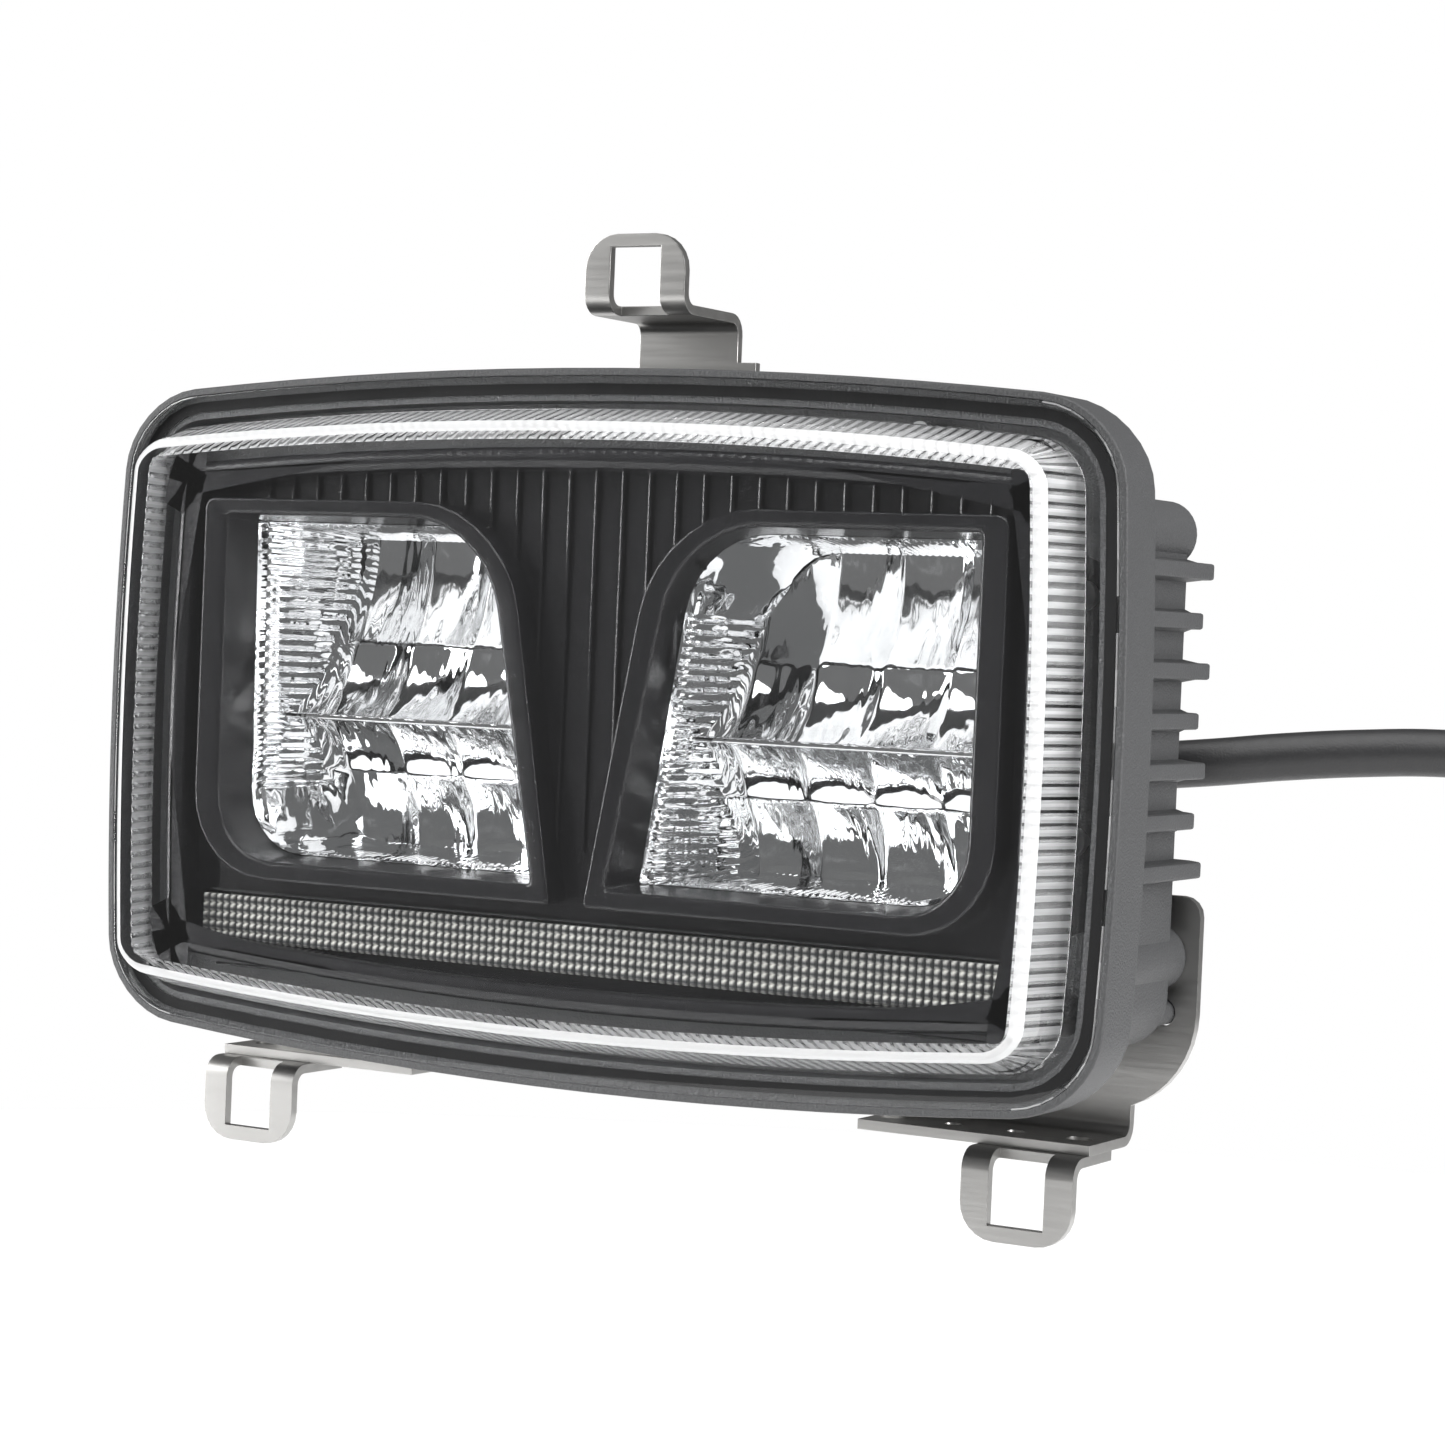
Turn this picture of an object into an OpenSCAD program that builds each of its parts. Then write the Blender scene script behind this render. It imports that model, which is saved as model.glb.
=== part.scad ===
// Rectangular twin-reflector LED fog light with a daytime running bar, on three sheet metal clips.
// X runs to the lamp's left as the driver sits (right as seen from the front), Y runs to the rear
// and Z up. The origin is the middle of the square hole in the top clip.

/* [Housing] */
// Width of the housing over its rim
lamp_w = 208; // [190:1:240]
// Height of the housing over its rim
lamp_h = 127; // [118:1:150]
// Radius of the crowned top and bottom edges
crown_r = 1000; // [700:10:2000]
// Radius of the crowned sides
side_r = 900; // [700:10:2000]
// Radius of the rim's corners
corner_r = 18; // [14:0.5:22]
// Depth of the rim
rim_d = 13; // [12:0.5:18]
// Distance from the rim's side to the side of the heat-sink core behind it
core_side_in = 4.5; // [4:0.1:12]
// Height of the core's top above the lamp's middle
core_top = 44; // [42:0.5:48]
// Depth of the core's bottom below the lamp's middle
core_bottom = 50; // [49.5:0.5:54]
// Depth from the rim's front to the back of the core
core_d = 36; // [34:0.5:44]
// Wall of the casting
wall = 3.5; // [3:0.1:4]

/* [Cooling fins] */
// Number of fins
fin_count = 7; // [3:1:7]
// Distance between fins
fin_pitch = 8.5; // [7:0.1:8.8]
// Height of the middle fin above the lamp's middle
fin_mid_z = 6.4; // [4:0.1:7]
// Thickness of a fin
fin_t = 3.4; // [2:0.1:4]
// How far the long fins stand out behind the core
fin_long = 7; // [4:0.5:8]
// How far the short fins stand out behind the core
fin_short = 3; // [2:0.5:4]
// How far the fins stand out at the core's sides
fin_side = 3; // [1:0.5:3.5]

/* [Lens] */
// Thickness of the clear lens
lens_t = 2.5; // [2:0.1:3]
// How far the lens dome stands out of the rim
dome_h = 10.6; // [8:0.1:14]
// Width of the lens flange between the dome's foot and its edge
flange_w = 5.8; // [5:0.1:7]
// How much the dome's sides lean in from foot to face
dome_lean = 3.4; // [2:0.1:5]
// Gap between the lens and the rim
lens_gap = 0.2; // [0.1:0.05:0.4]
// Lip of the rim around the lens
lip_t = 1.2; // [1:0.1:2]

/* [Light openings] */
// Thickness of the black bezel
bezel_t = 2; // [1.6:0.1:2.5]
// Depth of the bezel's face behind the rim's front
bezel_y = 4; // [3.5:0.1:4.5]
// Distance from the rim's side to the end of the running light bar
bar_side_in = 21.3; // [20:0.1:30]
// Height of the running light bar
bar_h = 8.6; // [6:0.1:9]
// Depth of the bar's middle below the lamp's middle
bar_drop = 39.1; // [38.5:0.1:39.5]
// Reflector depth
reflector_d = 24; // [20:0.5:24]

/* [Clips] */
// Thickness of the clips' sheet metal
sheet_t = 1.8; // [1.5:0.1:2]
// Inside radius of the sheet's bends
bend_r = 2; // [1.5:0.1:2.5]
// Width of a clip tab
tab_w = 20.8; // [18:0.1:24]
// Width of the square hole in a tab
hole_w = 10.4; // [8:0.1:12]
// Height of the square hole in a tab
hole_h = 10.2; // [8:0.1:12]
// Height of the top tab's front plate
top_tab_h = 12.5; // [12:0.1:16]
// Height of the top clip's shelf above the rim
shelf_rise = 10.8; // [8:0.1:20]
// Gap between the rim and the bottom plates
plate_gap = 2.4; // [2:0.1:8]
// Distance from the rim's side to the middle of a bottom tab
tab_side_in = 23.1; // [22:0.1:30]
// Distance between neighbouring holes in a bottom plate
plate_pitch = 12; // [11:0.5:12]
// Radius of the outer two holes in a bottom plate
plate_big_r = 2.2; // [1.8:0.1:2.3]
// Radius of the inner two holes in a bottom plate
plate_small_r = 1.5; // [1:0.1:2]
// Radius of the clip screws
screw_r = 2; // [1.5:0.1:2.2]
// Radius of the locating pins
pin_r = 2.2; // [1.5:0.1:2.4]

/* [Cable] */
// Diameter of the cable
cable_d = 8.4; // [7:0.1:9]

/* [Hidden] */
$fn = 48;
eps = 0.01;
fit_gap = 0.3;                       // clearance between moulded pieces
press_gap = 0.05;                    // clearance around screws and pins in their holes

rim_a = lamp_w / 2;
rim_b = lamp_h / 2;
spread = rim_a / 104;                // what lies across the lamp follows its width
bar_l = 2 * (rim_a - bar_side_in);
tab_span = 2 * (rim_a - tab_side_in);
flange_in = lip_t + lens_gap;        // from the rim's outside to the lens edge
dome_in = flange_in + flange_w;      // from the rim's outside to the dome's foot
seat_y = 3;                          // where the lens gasket's ledge lies
ledge_in = 5.4;                      // from the rim's outside to the front cavity
cavity_y = rim_d - 3;                // floor of the front cavity
core_a = rim_a - core_side_in;
core_in_a = core_a - wall;
core_in_y = core_d - wall;
fin_z = [for (i = [0:fin_count - 1]) fin_mid_z + (i - (fin_count - 1) / 2) * fin_pitch];
groove_in = 2.6;                     // from the rim's outside to the gasket groove
groove_w = 2;

tab_y = 14;                          // front face of the top tab
top_shelf_z = rim_b + shelf_rise;
plate_drop = rim_b + plate_gap;
top_plate_y = core_d - 2;            // front face of the top clip's upright plate
low_tab_y = 17;                      // front face of the bottom tabs
plate_front_y = 23;                  // front edge of the bottom plates
rear_plate_y = core_d + 4;           // front face of the lower clips' upright plates
plate_out_x = (tab_span + tab_w) / 2 + 0.2;   // outer end of a bottom plate
plate_in_x = plate_out_x - 44.2;     // inner end of a bottom plate
plate_hole_y = 30;
plate_hole_x = plate_out_x - 5;      // outermost hole
arm_x = core_a + 3.3;                // outer edge of the lower clips' arm
arm_in_x = arm_x - 18.8;             // inner edge of the arm
arm_top_z = -23.8;
arm_r = 18;                          // round shoulder between arm and plate
boss_r = 5.75;
low_boss = [core_a - 4.7, -34.5];
low_pin = [core_a - 3, -44];
high_boss = [core_a - 4.7, core_top - 6];
top_boss = [-4, core_top + 9];
top_pin = [8.5, core_top + 9];
top_boss_r = 5.2;
top_plate_low = top_boss[1] - 5.6;   // lower edge of the top clip
step_x = 14.3;                       // step at the top clip's side
step_z = rim_b + 3.8;
mount_at = [0, tab_y + sheet_t / 2, top_shelf_z + sheet_t + hole_h / 2];

cable_r = cable_d / 2;
gland_x = 26;                        // end of the cable outlet, where the gland nut starts
gland_y = core_d + 17;
gland_z = -3;
nut_l = 10;
relief_l = 34;
// The cable's middle line from the gland nut: along the back, out past the side, then straight down
cable_steps = [[36, 0, -3], [48, 0, -3], [60, 0, -3], [72, 0.1, -3], [84, 1, -2.4], [96, 4, -1.2],
               [108, 9.6, 0.4], [120, 16, 1.6], [132, 22.6, 2.2], [143, 28.6, 1.6], [153, 34.2, -0.8],
               [162, 39.2, -5.4], [169, 43.2, -12.2], [174, 46, -21.2], [177, 47.6, -32],
               for (z = [-44:-14:-170]) [178, 48.2, z]];
cable_route = [for (step = cable_steps) step + [0, gland_y, 0]];
plug_at = cable_route[len(cable_route) - 1];
cable_sides = 12;
plug_w = 24;                         // connector body: width, depth, and heights of block and nose
plug_t = 17;
plug_h = 22;
boot_h = 10;
nose_w = 19;
nose_t = 12;
nose_h = 18;
latch_w = 8;
latch_t = 1.8;
latch_gap = 2.6;
latch_pin_r = 1;
lock_gap = 0.4;
terminal_r = 1.1;
terminal_pitch = [9, 5];

// Points on an arc about c, both ends included
function arc(c, r, a0, a1, n) = [for (i = [0:n]) c + r * [cos(a0 + (a1 - a0) * i / n), sin(a0 + (a1 - a0) * i / n)]];

// The same points without the first one
function rest(list) = [for (i = [1:len(list) - 1]) list[i]];

// Centre of a corner of radius r that runs tangent into the crowned top and side
function corner_centre(a, b, rt, rs, r) =
    let (o1 = [0, b - rt], o2 = [a - rs, 0], q1 = rt - r, q2 = rs - r, d = norm(o2 - o1), u = (o2 - o1) / d,
         m = (q1 * q1 - q2 * q2 + d * d) / (2 * d), h = sqrt(q1 * q1 - m * m))
    o1 + m * u + h * [u[1], -u[0]];

// A quarter of the rim's outline moved inwards by d, from the top's middle to the side's middle
function rim_quarter(d) =
    let (a = rim_a - d, b = rim_b - d, rt = crown_r - d, rs = side_r - d, r = max(corner_r - d, 3),
         c = corner_centre(a, b, rt, rs, r), o1 = [0, b - rt], o2 = [a - rs, 0],
         at = atan2(c[1] - o1[1], c[0] - o1[0]), as = atan2(c[1] - o2[1], c[0] - o2[0]))
    concat(arc(o1, rt, 90, at, 5), rest(arc(c, r, at, as, 6)), rest(arc(o2, rs, as, 0, 3)));

// The whole crowned outline moved inwards by d
function rim_outline(d) =
    let (q = rim_quarter(d), n = len(q),
         right = concat(q, [for (i = [n - 2:-1:0]) [q[i][0], -q[i][1]]]), m = len(right))
    concat(right, [for (i = [m - 2:-1:1]) [-right[i][0], right[i][1]]]);

// Round one corner of a polygon: points of a fillet of radius r at p between its neighbours
function fillet_points(before, p, after, r) =
    r <= 0 ? [p] :
    let (u = (before - p) / norm(before - p), v = (after - p) / norm(after - p),
         half = acos(u * v) / 2, t = r / tan(half), c = p + (u + v) / norm(u + v) * r / sin(half),
         s = p + u * t - c, e = p + v * t - c, a0 = atan2(s[1], s[0]), a1 = atan2(e[1], e[0]),
         turn = a1 - a0 > 180 ? a1 - a0 - 360 : a1 - a0 < -180 ? a1 - a0 + 360 : a1 - a0)
    arc(c, r, a0, a0 + turn, 6);

// A polygon's points with each corner rounded by its own radius
function rounded(points, radii) =
    let (n = len(points))
    [for (i = [0:n - 1]) each fillet_points(points[(i + n - 1) % n], points[i], points[(i + 1) % n], radii[i])];

// Outline of the lamp's left light opening, grown by g; it is sharp at the outer top and inner bottom
function window_points(g) =
    rounded([[74.5 * spread + g, 35.2 + g], [21.5 * spread - 0.9 * g, 36 + g],
             [10.3 * spread - 1.2 * g, -27.3 - g], [bowl_edge_x + g, -25.6 - g]],
            [g > 0 ? 1 + g : 0, 13 + g, g > 0 ? 1 + g : 0, 13 + g]);

// Lamp coordinates to part coordinates
module placed() {
    translate(-mount_at) children();
}

// A flat shape drawn in X and Z, made solid from y0 to y1
module slab(y0, y1) {
    translate([0, y1, 0]) rotate([90, 0, 0]) linear_extrude(height = y1 - y0) children();
}

// A flat shape drawn in Y and Z, made solid from x0 to x1
module across(x0, x1) {
    translate([x0, 0, 0]) rotate([90, 0, 90]) linear_extrude(height = x1 - x0) children();
}

// A round bar along Y at x and z
module round_y(at, r, y0, y1) {
    translate([at[0], y1, at[1]]) rotate([90, 0, 0]) cylinder(r = r, h = y1 - y0);
}

// A round bar along X
module round_x(x0, x1, r, y, z) {
    translate([x0, y, z]) rotate([0, 90, 0]) cylinder(r = r, h = x1 - x0);
}

// A block from one corner to the other
module block(low, high) {
    translate(low) cube(high - low);
}

module both_sides() {
    children();
    mirror([1, 0, 0]) children();
}

module rim_shape(d) {
    polygon(rim_outline(d));
}

// Flat shape of the core, moved inwards by d
module core_shape(d) {
    polygon(rounded([[core_a - d, core_top - d], [core_a - d, -core_bottom + d],
                     [-core_a + d, -core_bottom + d], [-core_a + d, core_top - d]],
                    [9 - d, 9 - d, 9 - d, 9 - d]));
}

// One horizontal fin: it wraps the core's back and both its sides
module fin(z, out) {
    side = core_a + fin_side;
    back = core_d + out;
    translate([0, 0, z - fin_t / 2]) linear_extrude(height = fin_t)
        polygon([[-side, rim_d - 1], [side, rim_d - 1], [side, back - 4], [side - 2.5, back],
                 [-side + 2.5, back], [-side, back - 4]]);
}

module fins() {
    for (i = [0:fin_count - 1]) fin(fin_z[i], i % 2 == 0 ? fin_long : fin_short);
}

reflector_y = bezel_y + bezel_t;     // front of the reflectors
bar_board_y = 14.5;                  // front of the running light's board
driver_y = 26;                       // front of the driver board
tap_r = 1.25;                        // tapped hole of the inner screws
bowl_edge_x = 75.4 * spread;         // outermost edge of a bowl
reflector_post = [[bowl_edge_x + 8.6, 27], [bowl_edge_x + 8.6, -15]];
board_post = [55 * spread, -38];
bar_post = [bar_l / 2 - 10.7, -bar_drop];
bezel_screw = [62 * spread, rim_b - 10.5];
vent_at = [-40, -35];

module housing_outside() {
    slab(0, rim_d) rim_shape(0);
    slab(rim_d - eps, core_d) core_shape(0);
    fins();
    both_sides() {
        round_y(low_boss, boss_r, rim_d - 1, rear_plate_y);
        round_y(low_pin, pin_r, rim_d - 1, rear_plate_y + sheet_t + 0.7);
        round_y(high_boss, boss_r, rim_d - 1, core_d);
    }
    round_y(top_boss, top_boss_r, rim_d - 1, top_plate_y);
    round_y(top_pin, pin_r, rim_d - 1, top_plate_y + sheet_t + 0.7);
    block([top_boss[0] - 1.5, rim_d - 1, core_top - 1], [top_boss[0] + 1.5, top_plate_y - 1, top_boss[1]]);
    block([-6, core_d - 1, gland_z - 12], [gland_x, gland_y + 10, gland_z + 12]);
}

// Front recess for the lens, groove for its gasket and the hollow behind
module housing_hollow() {
    slab(-1, seat_y) rim_shape(lip_t);
    slab(seat_y - eps, cavity_y) rim_shape(ledge_in);
    slab(cavity_y - eps, core_in_y) core_shape(wall);
    difference() {
        slab(seat_y - eps, seat_y + 2) rim_shape(groove_in);
        slab(seat_y - 1, seat_y + 3) rim_shape(groove_in + groove_w);
    }
}

module inner_posts() {
    for (at = reflector_post) round_y(at, 3.5, reflector_y + reflector_d, core_in_y + eps);
    round_y(board_post, 3, driver_y + 1.6, core_in_y + eps);
    round_y(bar_post, 3, bar_board_y + 1.5, core_in_y + eps);
}

// Tapped holes on one side, for the screws inside and behind
module tapped_holes() {
    for (at = reflector_post) round_y(at, tap_r, reflector_y + reflector_d - 1, core_in_y + 1.5);
    round_y(board_post, tap_r, driver_y + 1, core_in_y + 1.5);
    round_y(bar_post, tap_r, bar_board_y, bar_board_y + 9);
    round_y(low_boss, screw_r, rear_plate_y - 14, rear_plate_y + 1);
    for (z = [-1, 1]) round_y([bezel_screw[0], z * bezel_screw[1]], tap_r, cavity_y - 1, rim_d - 0.6);
}

module housing() {
    color("#3c3d3f") placed() difference() {
        union() {
            difference() {
                housing_outside();
                housing_hollow();
            }
            both_sides() inner_posts();
        }
        both_sides() tapped_holes();
        round_y(top_boss, screw_r, top_plate_y - 12, top_plate_y + 1);
        round_y([8, gland_z], 4, core_in_y - 1, gland_y);
        round_x(4, gland_x + 1, 8, gland_y, gland_z);
        round_y(vent_at, 3, core_in_y - 1, core_d + 1);
    }
}

// Breather with a membrane under its cap, pushed into the back wall
module vent_plug() {
    color("#202122") placed() {
        round_y(vent_at, 3 - press_gap, core_in_y - 2, core_d + eps);
        round_y(vent_at, 6.5, core_d, core_d + 2.2);
        round_y(vent_at, 5, core_d + 2.2 - eps, core_d + 3.4);
    }
}

// The dome as two slabs with a leaning wall between them, moved inwards by d
module dome(d, front, back) {
    hull() {
        slab(back - 0.5, back) rim_shape(dome_in + d);
        slab(front + 1, front + 1.5) rim_shape(dome_in + dome_lean - 0.6 + d);
        slab(front, front + 0.5) rim_shape(dome_in + dome_lean + 0.6 + d);
    }
}

module lens() {
    color("#d8dde0", 0.4) placed() difference() {
        union() {
            slab(0, lens_t) rim_shape(flange_in);
            dome(0, -dome_h, 0.5);
        }
        dome(lens_t, -dome_h + lens_t, lens_t + 1);
    }
}

module lens_gasket() {
    color("#18191a") placed() difference() {
        slab(lens_t, seat_y + 2) rim_shape(groove_in + press_gap);
        slab(lens_t - 1, seat_y + 3) rim_shape(groove_in + groove_w - press_gap);
    }
}

bezel_in = dome_in + lens_t + dome_lean + 0.6;      // from the rim's outside to the bezel's edge
skirt_y = bezel_y + bezel_t + 2.5;

module bezel() {
    color("#1b1c1e") placed() difference() {
        union() {
            slab(bezel_y, bezel_y + bezel_t) rim_shape(bezel_in);
            slab(bezel_y + bezel_t - eps, skirt_y + eps) rim_shape(bezel_in);
            slab(skirt_y, cavity_y) rim_shape(ledge_in + 1);
            both_sides() slab(bezel_y - 1.5, bezel_y + eps) polygon(window_points(4));
        }
        slab(bezel_y + bezel_t, cavity_y + 1) rim_shape(bezel_in + bezel_t);
        both_sides() slab(bezel_y - 3, cavity_y) polygon(window_points(0));
        block([-bar_l / 2 - fit_gap, bezel_y - 1, -bar_drop - bar_h / 2 - fit_gap],
              [bar_l / 2 + fit_gap, cavity_y, -bar_drop + bar_h / 2 + fit_gap]);
        for (x = [-1, 1], z = [-1, 1])
            round_y([x * bezel_screw[0], z * bezel_screw[1]], 1.4, skirt_y - 1, cavity_y + 1);
    }
}

// A pan-head screw along Y: its head on the front side of y, its shank behind
module front_screw(at, r, y, length, head_r) {
    round_y(at, head_r, y - 1.5, y);
    round_y(at, r, y - eps, y + length);
}

module bezel_screws() {
    color("#8c8f93") placed()
        for (x = [-1, 1], z = [-1, 1])
            front_screw([x * bezel_screw[0], z * bezel_screw[1]], 1.2, skirt_y, rim_d - 0.8 - skirt_y, 2);
}

nose_z = -0.8;                       // middle of the nose that runs across each bowl
slot_x = spread * [30, 62];                   // slots in a bowl's roof and floor that the LEDs shine through
slot_y = [14, 22];

// Section of a bowl's nose, which scoops back above and below, moved inwards by d
module nose_shape(d) {
    top = [[12 + 3 * d, 0.7 - 0.35 * d], [18, 1.9 - d], [23, 5 - d], [26.2, 10 - d], [28.4, 18 - d]];
    back = reflector_y + reflector_d - 1.6 + (d > 0 ? 3 : eps);
    polygon(concat([for (p = top) [p[0], nose_z + p[1]]], [[back, nose_z + 18 - d], [back, nose_z - 18 + d]],
                   [for (i = [len(top) - 1:-1:0]) [top[i][0], nose_z - top[i][1]]]));
}

// Metallised bowl, open to the front, with a nose across its middle and slots for the LEDs above and below
module reflector() {
    difference() {
        union() {
            slab(reflector_y, reflector_y + reflector_d) polygon(window_points(1.8));
            for (at = reflector_post) {
                round_y(at, 3.5, reflector_y + reflector_d - 1.6, reflector_y + reflector_d);
                block([70 * spread, reflector_y + reflector_d - 1.6, at[1] - 3],
                      [at[0], reflector_y + reflector_d, at[1] + 3]);
            }
        }
        difference() {
            slab(reflector_y - 1, reflector_y + reflector_d - 1.6) polygon(window_points(0.3));
            across(0, 90) nose_shape(0);
        }
        intersection() {
            slab(reflector_y, core_d) polygon(window_points(-1.5));
            across(0, 90) nose_shape(1.6);
        }
        block([slot_x[0], slot_y[0], 30], [slot_x[1], slot_y[1], 45]);
        block([slot_x[0], slot_y[0], -45], [slot_x[1], slot_y[1], -20]);
        for (at = reflector_post) round_y(at, 1.4, reflector_y, core_d);
    }
}

module left_reflector() {
    color("#c9cbce") placed() mirror([1, 0, 0]) reflector();
}

module right_reflector() {
    color("#c9cbce") placed() reflector();
}

module reflector_screws() {
    color("#8c8f93") placed() both_sides()
        for (at = reflector_post)
            front_screw(at, 1.2, reflector_y + reflector_d - 1.6, 1.6 + core_in_y - reflector_y - reflector_d + 1.2, 2.6);
}

pad_t = 0.5;
led_board_t = 1;
blade_t = 1.2;
blade_x = spread * [26, 66];
blade_y = 13;                        // front edge of the boards and blades
board_z = [38.1, -29.3];             // faces of the upper and lower LED boards
led_x = spread * [34, 46, 58];

// A block that lies from d0 to d1 behind the face of the upper or lower LED board
module behind_board(i, x, y, d0, d1) {
    z = [board_z[i] + (i == 0 ? d0 : -d1), board_z[i] + (i == 0 ? d1 : -d0)];
    block([x[0], y[0], z[0]], [x[1], y[1], z[1]]);
}

module heat_blades() {
    for (i = [0, 1]) behind_board(i, blade_x, [blade_y, core_in_y - pad_t], led_board_t, led_board_t + blade_t);
}

module left_heat_blades() {
    color("#9a9da1") placed() mirror([1, 0, 0]) heat_blades();
}

module right_heat_blades() {
    color("#9a9da1") placed() heat_blades();
}

module led_boards() {
    for (i = [0, 1]) behind_board(i, [blade_x[0] + 1, blade_x[1] - 1], [blade_y, blade_y + 11], 0, led_board_t);
}

module left_led_boards() {
    color("#e6e6e0") placed() mirror([1, 0, 0]) led_boards();
}

module right_led_boards() {
    color("#e6e6e0") placed() led_boards();
}

module led_chips() {
    for (i = [0, 1], x = led_x) behind_board(i, [x - 1.75, x + 1.75], [blade_y + 3, blade_y + 6.5], -0.8, 0);
}

module left_led_chips() {
    color("#e8d84a") placed() mirror([1, 0, 0]) led_chips();
}

module right_led_chips() {
    color("#e8d84a") placed() led_chips();
}

module thermal_pads() {
    color("#b9bcc2") placed() both_sides()
        for (i = [0, 1]) behind_board(i, blade_x, [core_in_y - pad_t, core_in_y], led_board_t, led_board_t + blade_t);
}

bar_y = bezel_y + 1;
bar_led_count = 16;
bar_led_pitch = (bar_l - 30.4) / (bar_led_count - 1);

// Clear moulded bar with two feet on its LED board
module running_light_bar() {
    color("#e4e6e8", 0.6) placed() {
        block([-bar_l / 2, bar_y, -bar_drop - bar_h / 2], [bar_l / 2, 12.5, -bar_drop + bar_h / 2]);
        both_sides() block([bar_l / 2 - 4, 12.5 - eps, -bar_drop - 3], [bar_l / 2 - 1, bar_board_y, -bar_drop + 3]);
    }
}

module running_light_board() {
    color("#e6e6e0") placed() difference() {
        block([-bar_l / 2 - 1.3, bar_board_y, -bar_drop - 6.2], [bar_l / 2 + 1.3, 16, -bar_drop + 6.2]);
        both_sides() round_y(bar_post, 1.4, bar_board_y - 1, 17);
    }
}

module running_light_leds() {
    color("#e8d84a") placed()
        for (i = [0:bar_led_count - 1]) {
            x = (i - (bar_led_count - 1) / 2) * bar_led_pitch;
            block([x - 1, bar_board_y - 0.8, -bar_drop - 1.5], [x + 1, bar_board_y, -bar_drop + 1.5]);
        }
}

module running_light_screws() {
    color("#8c8f93") placed() both_sides() front_screw(bar_post, 1.2, bar_board_y, 8, 2);
}

module driver_board() {
    color("#2e6b3c") placed() difference() {
        block([-62 * spread, driver_y, -46], [62 * spread, driver_y + 1.6, -32]);
        both_sides() round_y(board_post, 1.4, driver_y - 1, driver_y + 3);
    }
}

module driver_board_screws() {
    color("#8c8f93") placed() both_sides() front_screw(board_post, 1.2, driver_y, 6, 2.4);
}

module driver_inductor() {
    color("#3a3a3c") placed() difference() {
        round_y([-30 * spread, -38], 6, driver_y - 6, driver_y);
        round_y([-30 * spread, -38], 2.2, driver_y - 7, driver_y + 1);
    }
}

module driver_capacitors() {
    color("#2a2c34") placed() for (x = spread * [28, 40]) round_y([x, -38], 4, driver_y - 8, driver_y);
}

module driver_chips() {
    color("#1a1a1c") placed()
        for (x = spread * [-14, -3, 8, 18]) block([x - 3, driver_y - 1.6, -40.5], [x + 3, driver_y, -35.5]);
}

// Three leads from the cable outlet down behind the reflectors to the driver board
module inner_leads() {
    lead_r = 0.8;
    lead_y = 31.2;
    color("#8a1f1c") placed() for (x = [5, 8, 11]) {
        round_y([x, gland_z], lead_r, lead_y, gland_y);
        translate([x, lead_y, -40]) cylinder(r = lead_r, h = gland_z + 40);
        round_y([x, -40], lead_r, driver_y + 1.6, lead_y);
        for (z = [gland_z, -40]) translate([x, lead_y, z]) sphere(r = lead_r);
    }
}

module cable_seal() {
    color("#1c1c1e") placed() difference() {
        round_x(gland_x - 10, gland_x - 2, 8 - press_gap, gland_y, gland_z);
        round_x(gland_x - 11, gland_x, cable_r, gland_y, gland_z);
    }
}

module gland_nut() {
    color("#202124") placed() difference() {
        union() {
            translate([gland_x, gland_y, gland_z]) rotate([0, 90, 0]) cylinder(r = 11, h = nut_l - 2, $fn = 6);
            round_x(gland_x + nut_l - 2 - eps, gland_x + nut_l, 8.8, gland_y, gland_z);
            round_x(gland_x - 2, gland_x + eps, 8 - press_gap, gland_y, gland_z);
        }
        round_x(gland_x - 3, gland_x + nut_l + 1, cable_r + 0.1, gland_y, gland_z);
    }
}

// Tapered rubber boot around the cable's first stretch
module strain_relief() {
    color("#161617") placed() difference() {
        translate([gland_x + nut_l, gland_y, gland_z]) rotate([0, 90, 0])
            cylinder(r1 = 7.6, r2 = cable_r + 1, h = relief_l);
        round_x(gland_x + nut_l - 1, gland_x + nut_l + relief_l + 1, cable_r + 0.1, gland_y, gland_z);
    }
}

// Rings across the cable at each point of its route, all turned the same way round it
function unit(v) = v / norm(v);
function heading(i) =
    let (n = len(cable_route))
    unit(cable_route[min(i + 1, n - 1)] - cable_route[max(i - 1, 0)]);
function ring(i) =
    let (t = heading(i), level = [-0.5, 0.87, 0], u = unit(level - (level * t) * t), v = cross(t, u))
    [for (k = [0:cable_sides - 1])
        cable_route[i] + cable_r * (cos(360 * k / cable_sides) * u + sin(360 * k / cable_sides) * v)];

module cable() {
    rings = len(cable_route);
    n = cable_sides;
    sides = [for (i = [0:rings - 2], k = [0:n - 1])
        each [[i * n + k, (i + 1) * n + (k + 1) % n, i * n + (k + 1) % n],
              [i * n + k, (i + 1) * n + k, (i + 1) * n + (k + 1) % n]]];
    caps = [[for (k = [0:n - 1]) k], [for (k = [n - 1:-1:0]) (rings - 1) * n + k]];
    color("#141415") placed()
        polyhedron(points = [for (i = [0:rings - 1]) each ring(i)], faces = concat(sides, caps));
}

// Connector coordinates: its cable comes in at the origin from above and it points down
module at_plug() {
    placed() translate(plug_at) children();
}

plug_nose_z = -boot_h - plug_h;
latch_y = plug_t / 2 + latch_gap + latch_t / 2;
latch_z = -boot_h - plug_h / 2 - 2;

module connector_boot() {
    color("#1c1c1e") at_plug() {
        translate([0, 0, -4]) cylinder(r1 = 6.6, r2 = 5.6, h = 4);
        translate([-8, -6.5, -boot_h]) cube([16, 13, boot_h - 4 + eps]);
    }
}

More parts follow.
